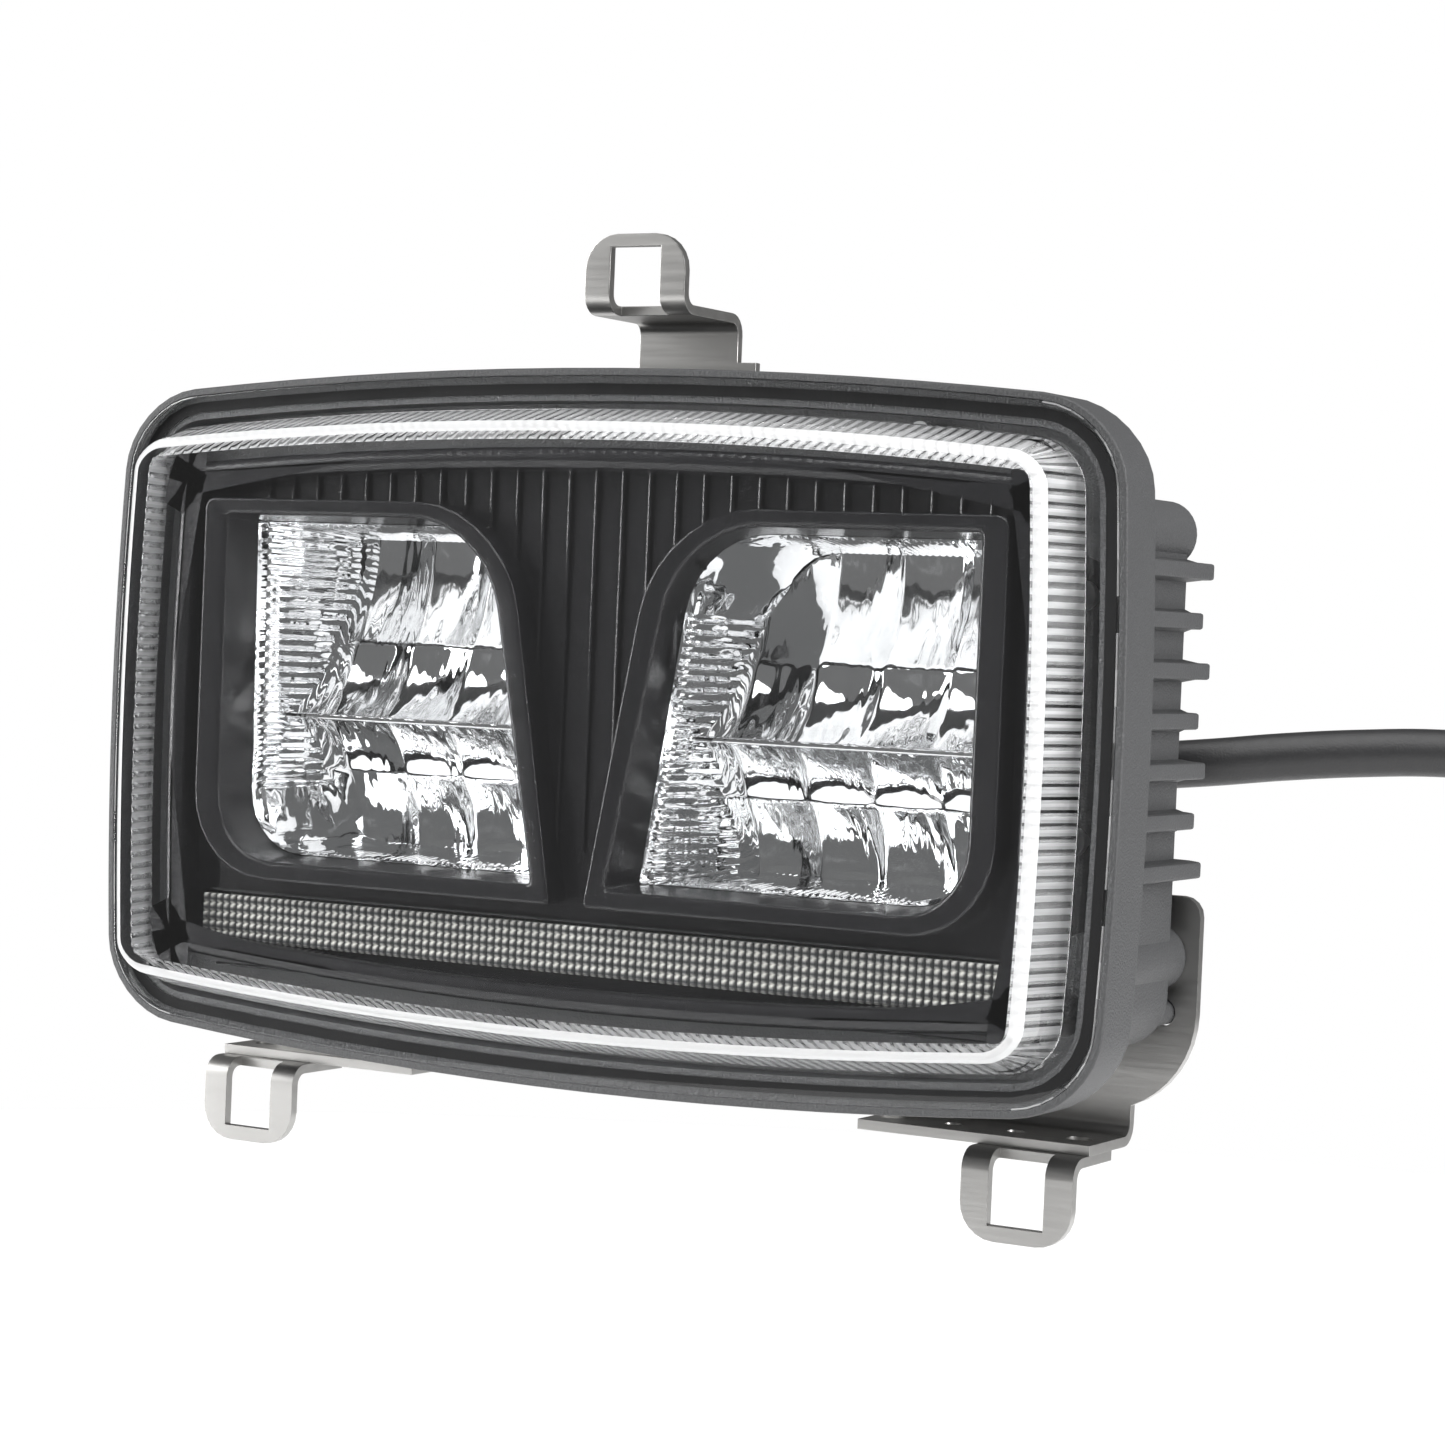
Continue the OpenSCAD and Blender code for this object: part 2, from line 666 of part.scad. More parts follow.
module connector_body() {
    ear_t = 1.6;
    ear_x = latch_w / 2 + lock_gap;
    color("#2b2c2f") at_plug() {
        difference() {
            union() {
                translate([-plug_w / 2, -plug_t / 2, plug_nose_z]) cube([plug_w, plug_t, plug_h]);
                translate([-nose_w / 2, -nose_t / 2, plug_nose_z - nose_h]) cube([nose_w, nose_t, nose_h + eps]);
                for (side = [-1, 1])
                    translate([side * (ear_x + ear_t / 2) - ear_t / 2, plug_t / 2 - eps, latch_z - 2])
                        cube([ear_t, latch_gap + latch_t + 0.4, 4]);
            }
            for (x = [-1, 1], y = [-1, 1])
                translate([x * terminal_pitch[0] / 2, y * terminal_pitch[1] / 2, plug_nose_z - nose_h - 1])
                    cylinder(r = terminal_r + press_gap, h = nose_h + 4);
            translate([-1.2, -4, plug_nose_z - nose_h - 1]) cube([2.4, 8, 12]);
        }
        translate([-ear_x - eps, latch_y, latch_z]) rotate([0, 90, 0]) cylinder(r = latch_pin_r, h = 2 * ear_x + 2 * eps);
    }
}

module connector_seal() {
    color("#c8641e") at_plug() difference() {
        translate([-nose_w / 2 - 1.2, -nose_t / 2 - 1.2, plug_nose_z - 4]) cube([nose_w + 2.4, nose_t + 2.4, 4]);
        translate([-nose_w / 2, -nose_t / 2, plug_nose_z - 5]) cube([nose_w, nose_t, 6]);
    }
}

module connector_latch() {
    color("#2b2c2f") at_plug() difference() {
        union() {
            translate([-latch_w / 2, latch_y - latch_t / 2, latch_z - 13]) cube([latch_w, latch_t, 24]);
            translate([-latch_w / 2, latch_y, latch_z]) rotate([0, 90, 0]) cylinder(r = 2, h = latch_w);
            translate([-latch_w / 2, latch_y - latch_t / 2 - 1.4, latch_z - 13]) cube([latch_w, 1.5, 2]);
        }
        translate([-latch_w / 2 - 1, latch_y, latch_z]) rotate([0, 90, 0])
            cylinder(r = latch_pin_r + press_gap, h = latch_w + 2);
    }
}

// Coloured lock: a plate with a blade that slides into the nose between the terminals
module connector_lock() {
    color("#d8571c") at_plug() difference() {
        union() {
            translate([-8, -4.9, plug_nose_z - nose_h - 2.6]) cube([16, 9.8, 2.3]);
            translate([-0.8, -3.6, plug_nose_z - nose_h - 0.5]) cube([1.6, 7.2, 10]);
        }
        for (x = [-1, 1], y = [-1, 1])
            translate([x * terminal_pitch[0] / 2, y * terminal_pitch[1] / 2, plug_nose_z - nose_h - 4])
                cylinder(r = terminal_r + 0.4, h = 4);
    }
}

module connector_terminals() {
    color("#b98d3c") at_plug()
        for (x = [-1, 1], y = [-1, 1])
            translate([x * terminal_pitch[0] / 2, y * terminal_pitch[1] / 2, plug_nose_z - nose_h + 1])
                cylinder(r = terminal_r, h = nose_h + 1);
}

// Front and back of a bend in Y and Z about c, from angle a0 to a1, as the two sides of the sheet
function bend(c, a0, a1) = [arc(c, bend_r, a0, a1, 6), arc(c, bend_r + sheet_t, a1, a0, 6)];

// Strip in Y and Z: tab up at the front, shelf to the rear, plate down behind the lamp
function top_strip() =
    let (shelf_top = top_shelf_z + sheet_t, r = bend_r, t = sheet_t,
         front = bend([tab_y + t + r, shelf_top + r], 270, 180),
         back = bend([top_plate_y - r, top_shelf_z - r], 90, 0))
    concat([[tab_y + t, shelf_top + top_tab_h]], [for (i = [6:-1:0]) front[0][i]],
           [for (i = [6:-1:0]) back[1][i]], [[top_plate_y + t, top_plate_low], [top_plate_y, top_plate_low]],
           [for (i = [6:-1:0]) back[0][i]], [for (i = [6:-1:0]) front[1][i]], [[tab_y, shelf_top + top_tab_h]]);

module top_bracket() {
    shelf_top = top_shelf_z + sheet_t;
    color("#a9abad") placed() difference() {
        union() {
            across(-tab_w / 2, tab_w / 2) polygon(top_strip());
            block([tab_w / 2 - eps, top_plate_y, top_plate_low], [step_x, top_plate_y + sheet_t, step_z]);
        }
        // the square hole runs down through the bend
        block([-hole_w / 2, tab_y - 1, top_shelf_z - 1], [hole_w / 2, tab_y + sheet_t + bend_r + 0.8, shelf_top + hole_h]);
        // rounded upper corners
        slab(tab_y - 1, tab_y + sheet_t + 1) difference() {
            translate([-tab_w, shelf_top + top_tab_h - 6.5]) square([2 * tab_w, 10]);
            polygon(rounded([[-tab_w / 2, top_shelf_z - 20], [-tab_w / 2, shelf_top + top_tab_h],
                             [tab_w / 2, shelf_top + top_tab_h], [tab_w / 2, top_shelf_z - 20]], [0, 6.5, 6.5, 0]));
        }
        round_y(top_boss, screw_r + 0.3, top_plate_y - 1, top_plate_y + sheet_t + 1);
        round_y(top_pin, pin_r + 0.2, top_plate_y - 1, top_plate_y + sheet_t + 1);
    }
}

// Lower clip on the lamp's left: an upright arm on the casting's boss and a level plate with four holes
module lower_bracket() {
    bend_z = -plate_drop + bend_r;
    curve = bend([rear_plate_y - bend_r, bend_z], -90, 0);
    difference() {
        union() {
            slab(rear_plate_y, rear_plate_y + sheet_t)
                polygon(concat([[plate_in_x, bend_z], [plate_out_x, bend_z]],
                               arc([arm_x - arm_r, low_pin[1]], arm_r, -68, 0, 8),
                               arc([arm_x - 3.5, arm_top_z - 3.5], 3.5, 0, 90, 4),
                               [[arm_in_x, arm_top_z], [arm_in_x, bend_z + 18], [arm_in_x - 6, bend_z + 12],
                                [plate_in_x, bend_z + 12]]));
            across(plate_in_x, plate_out_x)
                polygon(concat([[plate_front_y, -plate_drop]], curve[0], curve[1], [[plate_front_y, -plate_drop - sheet_t]]));
        }
        round_y(low_boss, screw_r + 0.3, rear_plate_y - 1, rear_plate_y + sheet_t + 1);
        round_y(low_pin, pin_r + 0.2, rear_plate_y - 1, rear_plate_y + sheet_t + 1);
        plate_holes();
    }
}

// The row of holes through a bottom plate and the clip under it
module plate_holes() {
    for (i = [0:3])
        translate([plate_hole_x - i * plate_pitch, plate_hole_y, -plate_drop - 3 * sheet_t])
            cylinder(r = i == 0 || i == 3 ? plate_big_r : plate_small_r, h = 4 * sheet_t);
}

// Clip under the plate: a foot, a bend and a tab that hangs down with a square hole in it
module lower_clip() {
    top = -plate_drop - sheet_t;
    low = top - sheet_t - bend_r - hole_h - 1.5;
    x = tab_span / 2;
    curve = bend([low_tab_y + sheet_t + bend_r, top - sheet_t - bend_r], 90, 180);
    difference() {
        across(x - tab_w / 2, x + tab_w / 2)
            polygon(concat([[33, top - sheet_t]], curve[0],
                           [[low_tab_y + sheet_t, low], [low_tab_y, low]], curve[1], [[33, top]]));
        block([x - hole_w / 2, low_tab_y - 1, top - sheet_t - hole_h - 0.8],
              [x + hole_w / 2, low_tab_y + sheet_t + bend_r + 0.6, top + 1]);
        slab(low_tab_y - 1, low_tab_y + sheet_t + 0.5) difference() {
            translate([x - tab_w, low - 1]) square([2 * tab_w, 7.5]);
            polygon(rounded([[x - tab_w / 2, top], [x - tab_w / 2, low], [x + tab_w / 2, low], [x + tab_w / 2, top]],
                            [0, 6.5, 6.5, 0]));
        }
        plate_holes();
    }
}

module left_bracket() {
    color("#a9abad") placed() mirror([1, 0, 0]) lower_bracket();
}

module right_bracket() {
    color("#a9abad") placed() lower_bracket();
}

module left_clip() {
    color("#b4b6b8") placed() mirror([1, 0, 0]) lower_clip();
}

module right_clip() {
    color("#b4b6b8") placed() lower_clip();
}

// Screw from behind, with a hexagon socket in its head
module rear_screw(at, y, length) {
    difference() {
        union() {
            round_y(at, screw_r - press_gap, y - length, y + eps);
            round_y(at, 3.8, y, y + 2.6);
        }
        translate([at[0], y + 3, at[1]]) rotate([90, 0, 0]) cylinder(r = 1.6, h = 2, $fn = 6);
    }
}

module top_bracket_screw() {
    color("#9fa2a6") placed() rear_screw(top_boss, top_plate_y + sheet_t, 10);
}

module left_bracket_screw() {
    color("#9fa2a6") placed() mirror([1, 0, 0]) rear_screw(low_boss, rear_plate_y + sheet_t, 12);
}

module right_bracket_screw() {
    color("#9fa2a6") placed() rear_screw(low_boss, rear_plate_y + sheet_t, 12);
}

housing();
vent_plug();
lens();
lens_gasket();
bezel();
bezel_screws();
left_reflector();
right_reflector();
reflector_screws();
left_heat_blades();
right_heat_blades();
left_led_boards();
right_led_boards();
left_led_chips();
right_led_chips();
thermal_pads();
running_light_bar();
running_light_board();
running_light_leds();
running_light_screws();
driver_board();
driver_board_screws();
driver_inductor();
driver_capacitors();
driver_chips();
inner_leads();
cable_seal();
gland_nut();
strain_relief();
cable();
connector_body();
connector_boot();
connector_seal();
connector_latch();
connector_lock();
connector_terminals();
top_bracket();
left_bracket();
right_bracket();
left_clip();
right_clip();
top_bracket_screw();
left_bracket_screw();
right_bracket_screw();
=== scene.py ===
"""Fog light: twin-reflector LED lamp with a running light bar, on three sheet metal clips, with its cable."""
import bpy
import bmesh
import math
from mathutils import Matrix, Vector


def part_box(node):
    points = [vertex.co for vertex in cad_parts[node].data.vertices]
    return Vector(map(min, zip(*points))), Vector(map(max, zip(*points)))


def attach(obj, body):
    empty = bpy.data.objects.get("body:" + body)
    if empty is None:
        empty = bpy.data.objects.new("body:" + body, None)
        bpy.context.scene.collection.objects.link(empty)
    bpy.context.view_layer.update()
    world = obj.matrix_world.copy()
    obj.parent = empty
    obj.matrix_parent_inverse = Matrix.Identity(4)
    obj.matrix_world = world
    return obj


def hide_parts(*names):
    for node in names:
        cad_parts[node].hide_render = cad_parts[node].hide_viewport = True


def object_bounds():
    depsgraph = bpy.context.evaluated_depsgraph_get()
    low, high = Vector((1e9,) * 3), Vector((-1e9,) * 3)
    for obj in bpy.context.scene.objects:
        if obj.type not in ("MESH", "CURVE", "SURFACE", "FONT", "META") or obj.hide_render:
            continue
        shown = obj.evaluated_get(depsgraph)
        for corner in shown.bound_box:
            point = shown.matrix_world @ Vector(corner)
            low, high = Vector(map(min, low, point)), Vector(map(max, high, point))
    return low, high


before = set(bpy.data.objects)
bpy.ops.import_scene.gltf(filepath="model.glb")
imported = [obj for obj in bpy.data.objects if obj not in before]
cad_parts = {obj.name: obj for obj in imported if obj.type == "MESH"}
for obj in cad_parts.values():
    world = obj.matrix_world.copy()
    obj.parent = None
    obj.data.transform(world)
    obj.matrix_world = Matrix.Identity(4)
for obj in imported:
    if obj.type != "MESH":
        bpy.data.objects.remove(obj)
cad_low, cad_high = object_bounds()


# ---- Camera and light -------------------------------------------------------------------------
# A long lens stands half a metre in front of the lamp, a little to its right and level with it.
# A wide soft lamp overhead, a soft box on each side and a pale room light it evenly. What is seen
# straight, or straight through the lens, is white; what is mirrored is a dimmer room.
camera_data = bpy.data.cameras.new("long_lens")
camera_data.lens = 87.2
camera_data.sensor_width = 36
camera = bpy.data.objects.new("camera", camera_data)
camera.location = (0.3255, -0.5365, -0.0628)
camera.rotation_euler = (math.radians(88.501), math.radians(-2.409), math.radians(29.611))
bpy.context.scene.collection.objects.link(camera)
bpy.context.scene.camera = camera
bpy.context.scene.view_settings.view_transform = "Standard"

room = bpy.data.worlds.new("pale_room")
room.use_nodes = True
wall = room.node_tree.nodes["Background"]
wall.inputs["Color"].default_value = (1, 1, 1, 1)
looking = room.node_tree.nodes.new("ShaderNodeLightPath")


def room_maths(operation, first, second):
    """A Math node in the room's nodes."""
    new = room.node_tree.nodes.new("ShaderNodeMath")
    new.operation = operation
    for place, value in enumerate((first, second)):
        if isinstance(value, (int, float)):
            new.inputs[place].default_value = value
        else:
            room.node_tree.links.new(value, new.inputs[place])
    return new.outputs[0]


bounced = room_maths("ADD", looking.outputs["Glossy Depth"], looking.outputs["Diffuse Depth"])
unbounced = room_maths("LESS_THAN", bounced, 0.5)
straight = room_maths("MULTIPLY", looking.outputs["Is Transmission Ray"], unbounced)
seen = room_maths("MAXIMUM", looking.outputs["Is Camera Ray"], straight)
level = room_maths("ADD", room_maths("MULTIPLY", seen, 0.82), 0.18)
room.node_tree.links.new(level, wall.inputs["Strength"])
bpy.context.scene.world = room
sky = bpy.data.lights.new("high_sheet", "SUN")
sky.energy = 3.0
sky.angle = math.radians(70)
high_sheet = bpy.data.objects.new("high_sheet", sky)
high_sheet.rotation_euler = (math.radians(18), math.radians(6), 0)
bpy.context.scene.collection.objects.link(high_sheet)


def soft_box(name, place, aim, width, height, power):
    """A rectangular lamp at place, turned towards aim."""
    data = bpy.data.lights.new(name, "AREA")
    data.shape = "RECTANGLE"
    data.size, data.size_y = width, height
    data.energy = power
    box = bpy.data.objects.new(name, data)
    box.location = place
    box.rotation_euler = (Vector(aim) - Vector(place)).to_track_quat("-Z", "Y").to_euler()
    bpy.context.scene.collection.objects.link(box)
    return box


soft_box("left_box", (-0.9, -0.5, 0.1), (0, 0, -0.08), 0.5, 0.9, 10)
soft_box("right_box", (0.85, 0.05, 0.25), (0, 0, -0.08), 0.35, 0.7, 8)


# ---- Floor ------------------------------------------------------------------------------------
# A matt pale sheet, just under the lowest thing that hangs from the lamp.
class Signal:
    """A value on its way through a material; the operators put a Math node on it."""

    def __init__(self, finish, socket):
        self.finish = finish
        self.socket = socket

    def maths(self, operation, first, second=0.0):
        return self.finish.node("ShaderNodeMath", {"operation": operation}, {0: first, 1: second})

    def __add__(self, other):
        return self.maths("ADD", self, other)

    def __radd__(self, other):
        return self.maths("ADD", other, self)

    def __mul__(self, other):
        return self.maths("MULTIPLY", self, other)

    def __rmul__(self, other):
        return self.maths("MULTIPLY", other, self)

    def __gt__(self, other):
        return self.maths("GREATER_THAN", self, other)


class Finish:
    """A material being mixed: its shader, and a method that adds any other node."""

    def __init__(self, name, **shader):
        self.material = bpy.data.materials.new(name)
        self.material.use_nodes = True
        self.tree = self.material.node_tree
        self.shader = self.tree.nodes["Principled BSDF"]
        for word, value in shader.items():
            self.shader.inputs[word.replace("_", " ")].default_value = value

    def node(self, kind, settings=None, sockets=None, output=0):
        new = self.tree.nodes.new(kind)
        for word, value in (settings or {}).items():
            if word == "stops":
                while len(new.color_ramp.elements) < len(value):
                    new.color_ramp.elements.new(0.5)
                for element, (place, colour) in zip(new.color_ramp.elements, value):
                    element.position = place
                    element.color = colour
            else:
                setattr(new, word, value)
        for word, value in (sockets or {}).items():
            if isinstance(value, Signal):
                self.tree.links.new(value.socket, new.inputs[word])
            else:
                new.inputs[word].default_value = value
        return Signal(self, new.outputs[output])

    def feed(self, word, signal):
        self.tree.links.new(signal.socket, self.shader.inputs[word])

    def place(self, stretch=(1, 1, 1)):
        """Object coordinates, stretched along each axis."""
        spot = self.node("ShaderNodeTexCoord", output=3)
        return self.node("ShaderNodeMapping", {}, {"Vector": spot, "Scale": stretch})

    def grain(self, scale, detail=3, stretch=(1, 1, 1)):
        """Noise between 0 and 1 with grains of one over scale metres."""
        return self.node("ShaderNodeTexNoise", {},
                         {"Vector": self.place(stretch), "Scale": scale, "Detail": detail})

    def between(self, share, one, other):
        """One colour turning into another as share goes from 0 to 1."""
        return self.node("ShaderNodeMix", {"data_type": "RGBA"}, {0: share, 6: one, 7: other}, output=2)

    def tint(self, share, one, other):
        """Feeds the base colour, from one to the other as share goes from 0 to 1."""
        self.feed("Base Color", self.between(share, (*one, 1), (*other, 1)))

    def relief(self, height, depth, strength=1.0):
        """Feeds a height map of that depth in metres to the shader's normal."""
        bump = self.node("ShaderNodeBump", {}, {"Height": height, "Distance": depth, "Strength": strength})
        self.feed("Normal", bump)


floor_paint = Finish("pale_sheet", Roughness=0.9)
floor_paint.tint(floor_paint.grain(3), (0.93, 0.93, 0.93), (0.95, 0.95, 0.95))
sheet = bmesh.new()
bmesh.ops.create_circle(sheet, cap_ends=True, segments=96, radius=1.1)
bmesh.ops.translate(sheet, verts=sheet.verts, vec=(0, 0, cad_low.z - 0.004))
floor_mesh = bpy.data.meshes.new("floor")
sheet.to_mesh(floor_mesh)
floor_mesh.materials.append(floor_paint.material)
floor = bpy.data.objects.new("floor", floor_mesh)
bpy.context.scene.collection.objects.link(floor)


# ---- Cable ------------------------------------------------------------------------------------
# Round vehicle cable, 8.4 mm over its black jacket, clamped in the gland at the lamp's back. It runs
# along the back, leaves past the side and hangs down to its connector.
# The lamp's own millimetres: Y 0 at the front of the lens flange, Z 0 at the lens's middle.
LENS_FLANGE = 0.0025
lens_low, lens_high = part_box("lens")
LAMP = (Matrix.Translation((0, lens_high.y - LENS_FLANGE, (lens_low.z + lens_high.z) / 2))
        @ Matrix.Scale(0.001, 4))

cable_route = [(36, 53, -3), (48, 53, -3), (60, 53, -3), (72, 53.1, -3), (84, 54, -2.4), (96, 57, -1.2),
               (108, 62.6, 0.4), (120, 69, 1.6), (132, 75.6, 2.2), (143, 81.6, 1.6), (153, 87.2, -0.8),
               (162, 92.2, -5.4), (169, 96.2, -12.2), (174, 99, -21.2), (177, 100.6, -32), (178, 101.2, -44),
               (178, 101.2, -58), (178, 101.2, -72), (178, 101.2, -86), (178, 101.2, -100),
               (178, 101.2, -114), (178, 101.2, -128), (178, 101.2, -142), (178, 101.2, -156),
               (178, 101.2, -170)]
cable_jacket = Finish("cable_jacket", Roughness=0.42, IOR=1.5)
jacket_cloud = cable_jacket.grain(90)
cable_jacket.tint(jacket_cloud, (0.012, 0.012, 0.013), (0.022, 0.022, 0.023))
cable_jacket.feed("Roughness", 0.36 + 0.16 * cable_jacket.grain(700, 2))
cable_jacket.relief(cable_jacket.grain(2600, 2), 0.00006)
curve = bpy.data.curves.new("cable_line", "CURVE")
curve.dimensions = "3D"
curve.bevel_depth = 0.0042
curve.bevel_resolution = 8
curve.resolution_u = 6
spline = curve.splines.new("BEZIER")
spline.bezier_points.add(len(cable_route) - 1)
for point, spot in zip(spline.bezier_points, cable_route):
    point.co = LAMP @ Vector(spot)
    point.handle_left_type = point.handle_right_type = "AUTO"
curve.use_fill_caps = True
curve.materials.append(cable_jacket.material)
cable = bpy.data.objects.new("hanging_cable", curve)
bpy.context.scene.collection.objects.link(cable)
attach(cable, "root")
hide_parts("cable")


# ---- Housing ----------------------------------------------------------------------------------
# One pressure-cast aluminium piece under a fine black powder coat: a crowned rim that holds the
# lens, a boxed core behind it that carries the fins and the screw bosses, and the cable outlet.
powder_coat = Finish("powder_coat", Roughness=0.5, IOR=1.5)
coat_dust = powder_coat.grain(2400, 2)
powder_coat.tint(powder_coat.grain(35), (0.050, 0.051, 0.053), (0.066, 0.067, 0.069))
powder_coat.feed("Roughness", 0.40 + 0.2 * coat_dust)
powder_coat.relief(coat_dust, 0.00022)


# Turns what is made flat, or along Z, to face the front.
UPRIGHT = Matrix.Rotation(math.radians(90), 4, "X")


def stand_for(name, bm, finish, slot, *nodes, body="root"):
    """Makes the finished piece from a mesh in lamp millimetres, in place of CAD nodes."""
    bmesh.ops.transform(bm, matrix=LAMP, verts=bm.verts)
    mesh = bpy.data.meshes.new(name)
    bm.to_mesh(mesh)
    bm.free()
    mesh.shade_smooth()
    mesh.set_sharp_from_angle(angle=math.radians(32))
    mesh.materials.append(finish.material)
    piece = bpy.data.objects.new(name, mesh)
    bpy.context.scene.collection.objects.link(piece)
    shading = piece.modifiers.new("even_shading", "WEIGHTED_NORMAL")
    shading.keep_sharp = True
    shading.weight = 100
    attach(piece, body)
    if nodes:
        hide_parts(*nodes)
    return piece


def crowned_outline(inset, depth):
    """One face: the rim's crowned outline moved inwards by inset, at that depth behind the lens."""
    half_w, half_h = 104 - inset, 63.5 - inset
    bm = bmesh.new()
    bmesh.ops.create_grid(bm, x_segments=1, y_segments=1, size=1, matrix=UPRIGHT)
    bmesh.ops.scale(bm, verts=bm.verts, vec=(half_w, 1, half_h))
    bmesh.ops.bevel(bm, geom=bm.verts[:], affect="VERTICES", offset=max(15 - inset, 2), segments=8,
                    profile=0.5, material=-1)
    bmesh.ops.subdivide_edges(bm, edges=[e for e in bm.edges if e.calc_length() > 15], cuts=14)
    for v in bm.verts:
        x, z = v.co.x, v.co.z
        v.co.z = z - x * x / 2000 * z / half_h
        v.co.x = x - z * z / 1800 * x / half_w
    bmesh.ops.translate(bm, verts=bm.verts, vec=(0, depth, 0))
    return bm


def push(bm, faces, vec):
    """Extrudes faces by a vector and returns the moved faces; a lone face stays as the other end."""
    inside = set(faces)
    on_a_shell = any(f not in inside for face in inside for e in face.edges for f in e.link_faces)
    grown = bmesh.ops.extrude_face_region(bm, geom=faces)["geom"]
    bmesh.ops.translate(bm, verts=[g for g in grown if isinstance(g, bmesh.types.BMVert)], vec=vec)
    left = [f for f in faces if f.is_valid]
    if on_a_shell and left:
        bmesh.ops.delete(bm, geom=left, context="FACES_ONLY")
    return [g for g in grown if isinstance(g, bmesh.types.BMFace)]


def step_in(bm, faces, width, depth=0):
    """Insets a region of faces and returns the faces inside it."""
    bmesh.ops.inset_region(bm, faces=faces, thickness=width, depth=depth, use_even_offset=True)
    return faces


def soften(bm, width, segments=2, where=None, sharp=30):
    """Rounds the edges sharper than so many degrees, all of them or where asked."""
    bmesh.ops.recalc_face_normals(bm, faces=bm.faces)
    edges = [e for e in bm.edges if len(e.link_faces) == 2 and e.calc_face_angle(0) > math.radians(sharp)
             and (where is None or where((e.verts[0].co + e.verts[1].co) / 2))]
    bmesh.ops.bevel(bm, geom=edges, affect="EDGES", offset=width, segments=segments, profile=0.5, material=-1)


def facing(bm, y):
    """The faces that lie flat at depth y."""
    return [f for f in bm.faces if all(abs(v.co.y - y) < 1e-3 for v in f.verts)]


def add_block(bm, low, high, width=0, segments=2):
    """A block from corner to corner with its edges rounded."""
    part = bmesh.new()
    bmesh.ops.create_cube(part, size=1)
    bmesh.ops.scale(part, verts=part.verts, vec=Vector(high) - Vector(low))
    bmesh.ops.translate(part, verts=part.verts, vec=(Vector(high) + Vector(low)) / 2)
    if width:
        bmesh.ops.bevel(part, geom=part.edges[:], affect="EDGES", offset=width, segments=segments,
                        profile=0.5, material=-1)
    merge_into(bm, part)


def add_bar_y(bm, x, z, radius, y0, y1, width=0.3, sides=32):
    """A round bar along Y, with both its end edges rounded."""
    part = bmesh.new()
    bmesh.ops.create_cone(part, cap_ends=True, segments=sides, radius1=radius, radius2=radius,
                          depth=y1 - y0,
                          matrix=Matrix.Translation((x, (y0 + y1) / 2, z)) @ UPRIGHT)
    soften(part, width, 2, sharp=50)
    merge_into(bm, part)


def merge_into(bm, part):
    """Adds part's mesh to bm."""
    mesh = bpy.data.meshes.new("part")
    part.to_mesh(mesh)
    part.free()
    bm.from_mesh(mesh)
    bpy.data.meshes.remove(mesh)


def four_sided(bm, corners, roundings, depth, side=1):
    """One face with four rounded corners at that depth, on the side asked for; returns it."""
    spots = [bm.verts.new((side * x, depth, z)) for x, z in corners]
    bm.faces.new(spots)
    for spot, rounding in zip(spots, roundings):
        bmesh.ops.bevel(bm, geom=[spot], affect="VERTICES", offset=rounding, segments=7, profile=0.5,
                        material=-1)
    return facing(bm, depth)


def join_rings(bm, faces, other_faces):
    """Takes away two faces and joins their outlines with a strip."""
    edges = [e for f in faces + other_faces for e in f.edges]
    bmesh.ops.delete(bm, geom=faces + other_faces, context="FACES_ONLY")
    bmesh.ops.bridge_loops(bm, edges=edges)


# The rim: a ring 13 mm deep with a lip 1.2 mm wide round the lens, and a seat behind the lens. The
# hollow runs on into the core, a box with 9 mm corners.
rim = crowned_outline(0, 0)
push(rim, rim.faces[:], (0, 13, 0))
soften(rim, 0.5, 3, where=lambda spot: spot.y < 1)
soften(rim, 1.6, 3, where=lambda spot: spot.y > 12)
lens_seat = step_in(rim, facing(rim, 0), 0.75)
lens_seat = push(rim, lens_seat, (0, 3, 0))
lens_seat = step_in(rim, lens_seat, 4.4)
cavity = push(rim, lens_seat, (0, 7, 0))
core_box = [(99.5, 44), (-99.5, 44), (-99.5, -50), (99.5, -50)]
hollow_box = [(96, 40.5), (-96, 40.5), (-96, -46.5), (96, -46.5)]
hollow = four_sided(rim, hollow_box, (5.5,) * 4, 10.5)
back = facing(rim, 13)
outside = four_sided(rim, core_box, (9,) * 4, 13.5)
push(rim, hollow, (0, 22, 0))
push(rim, outside, (0, 22.5, 0))
join_rings(rim, cavity, hollow)
join_rings(rim, back, outside)
soften(rim, 1.5, 3, where=lambda spot: spot.y > 30)

# Seven fins wrap the back and both sides of the core; each narrows to its rounded tip.
for i in range(7):
    fin_z, tip = 6.4 + (i - 3) * 8.5, (43, 39)[i % 2]
    bend = [(-102.5, 12.5), (-102.5, tip - 3), (-99.5, tip), (99.5, tip), (102.5, tip - 3), (102.5, 12.5),
            (98.9, 12.5), (98.9, 34.5), (-98.9, 34.5), (-98.9, 12.5)]
    fin = bmesh.new()
    fin.faces.new([fin.verts.new((x, y, fin_z - 1.95)) for x, y in bend])
    push(fin, fin.faces[:], (0, 0, 3.9))
    for v in fin.verts:
        if abs(v.co.x) > 99 and v.co.y < tip - 1 or v.co.y > 35:
            v.co.z = fin_z + (v.co.z - fin_z) * 0.72
    soften(fin, 0.5, 2)
    merge_into(rim, fin)

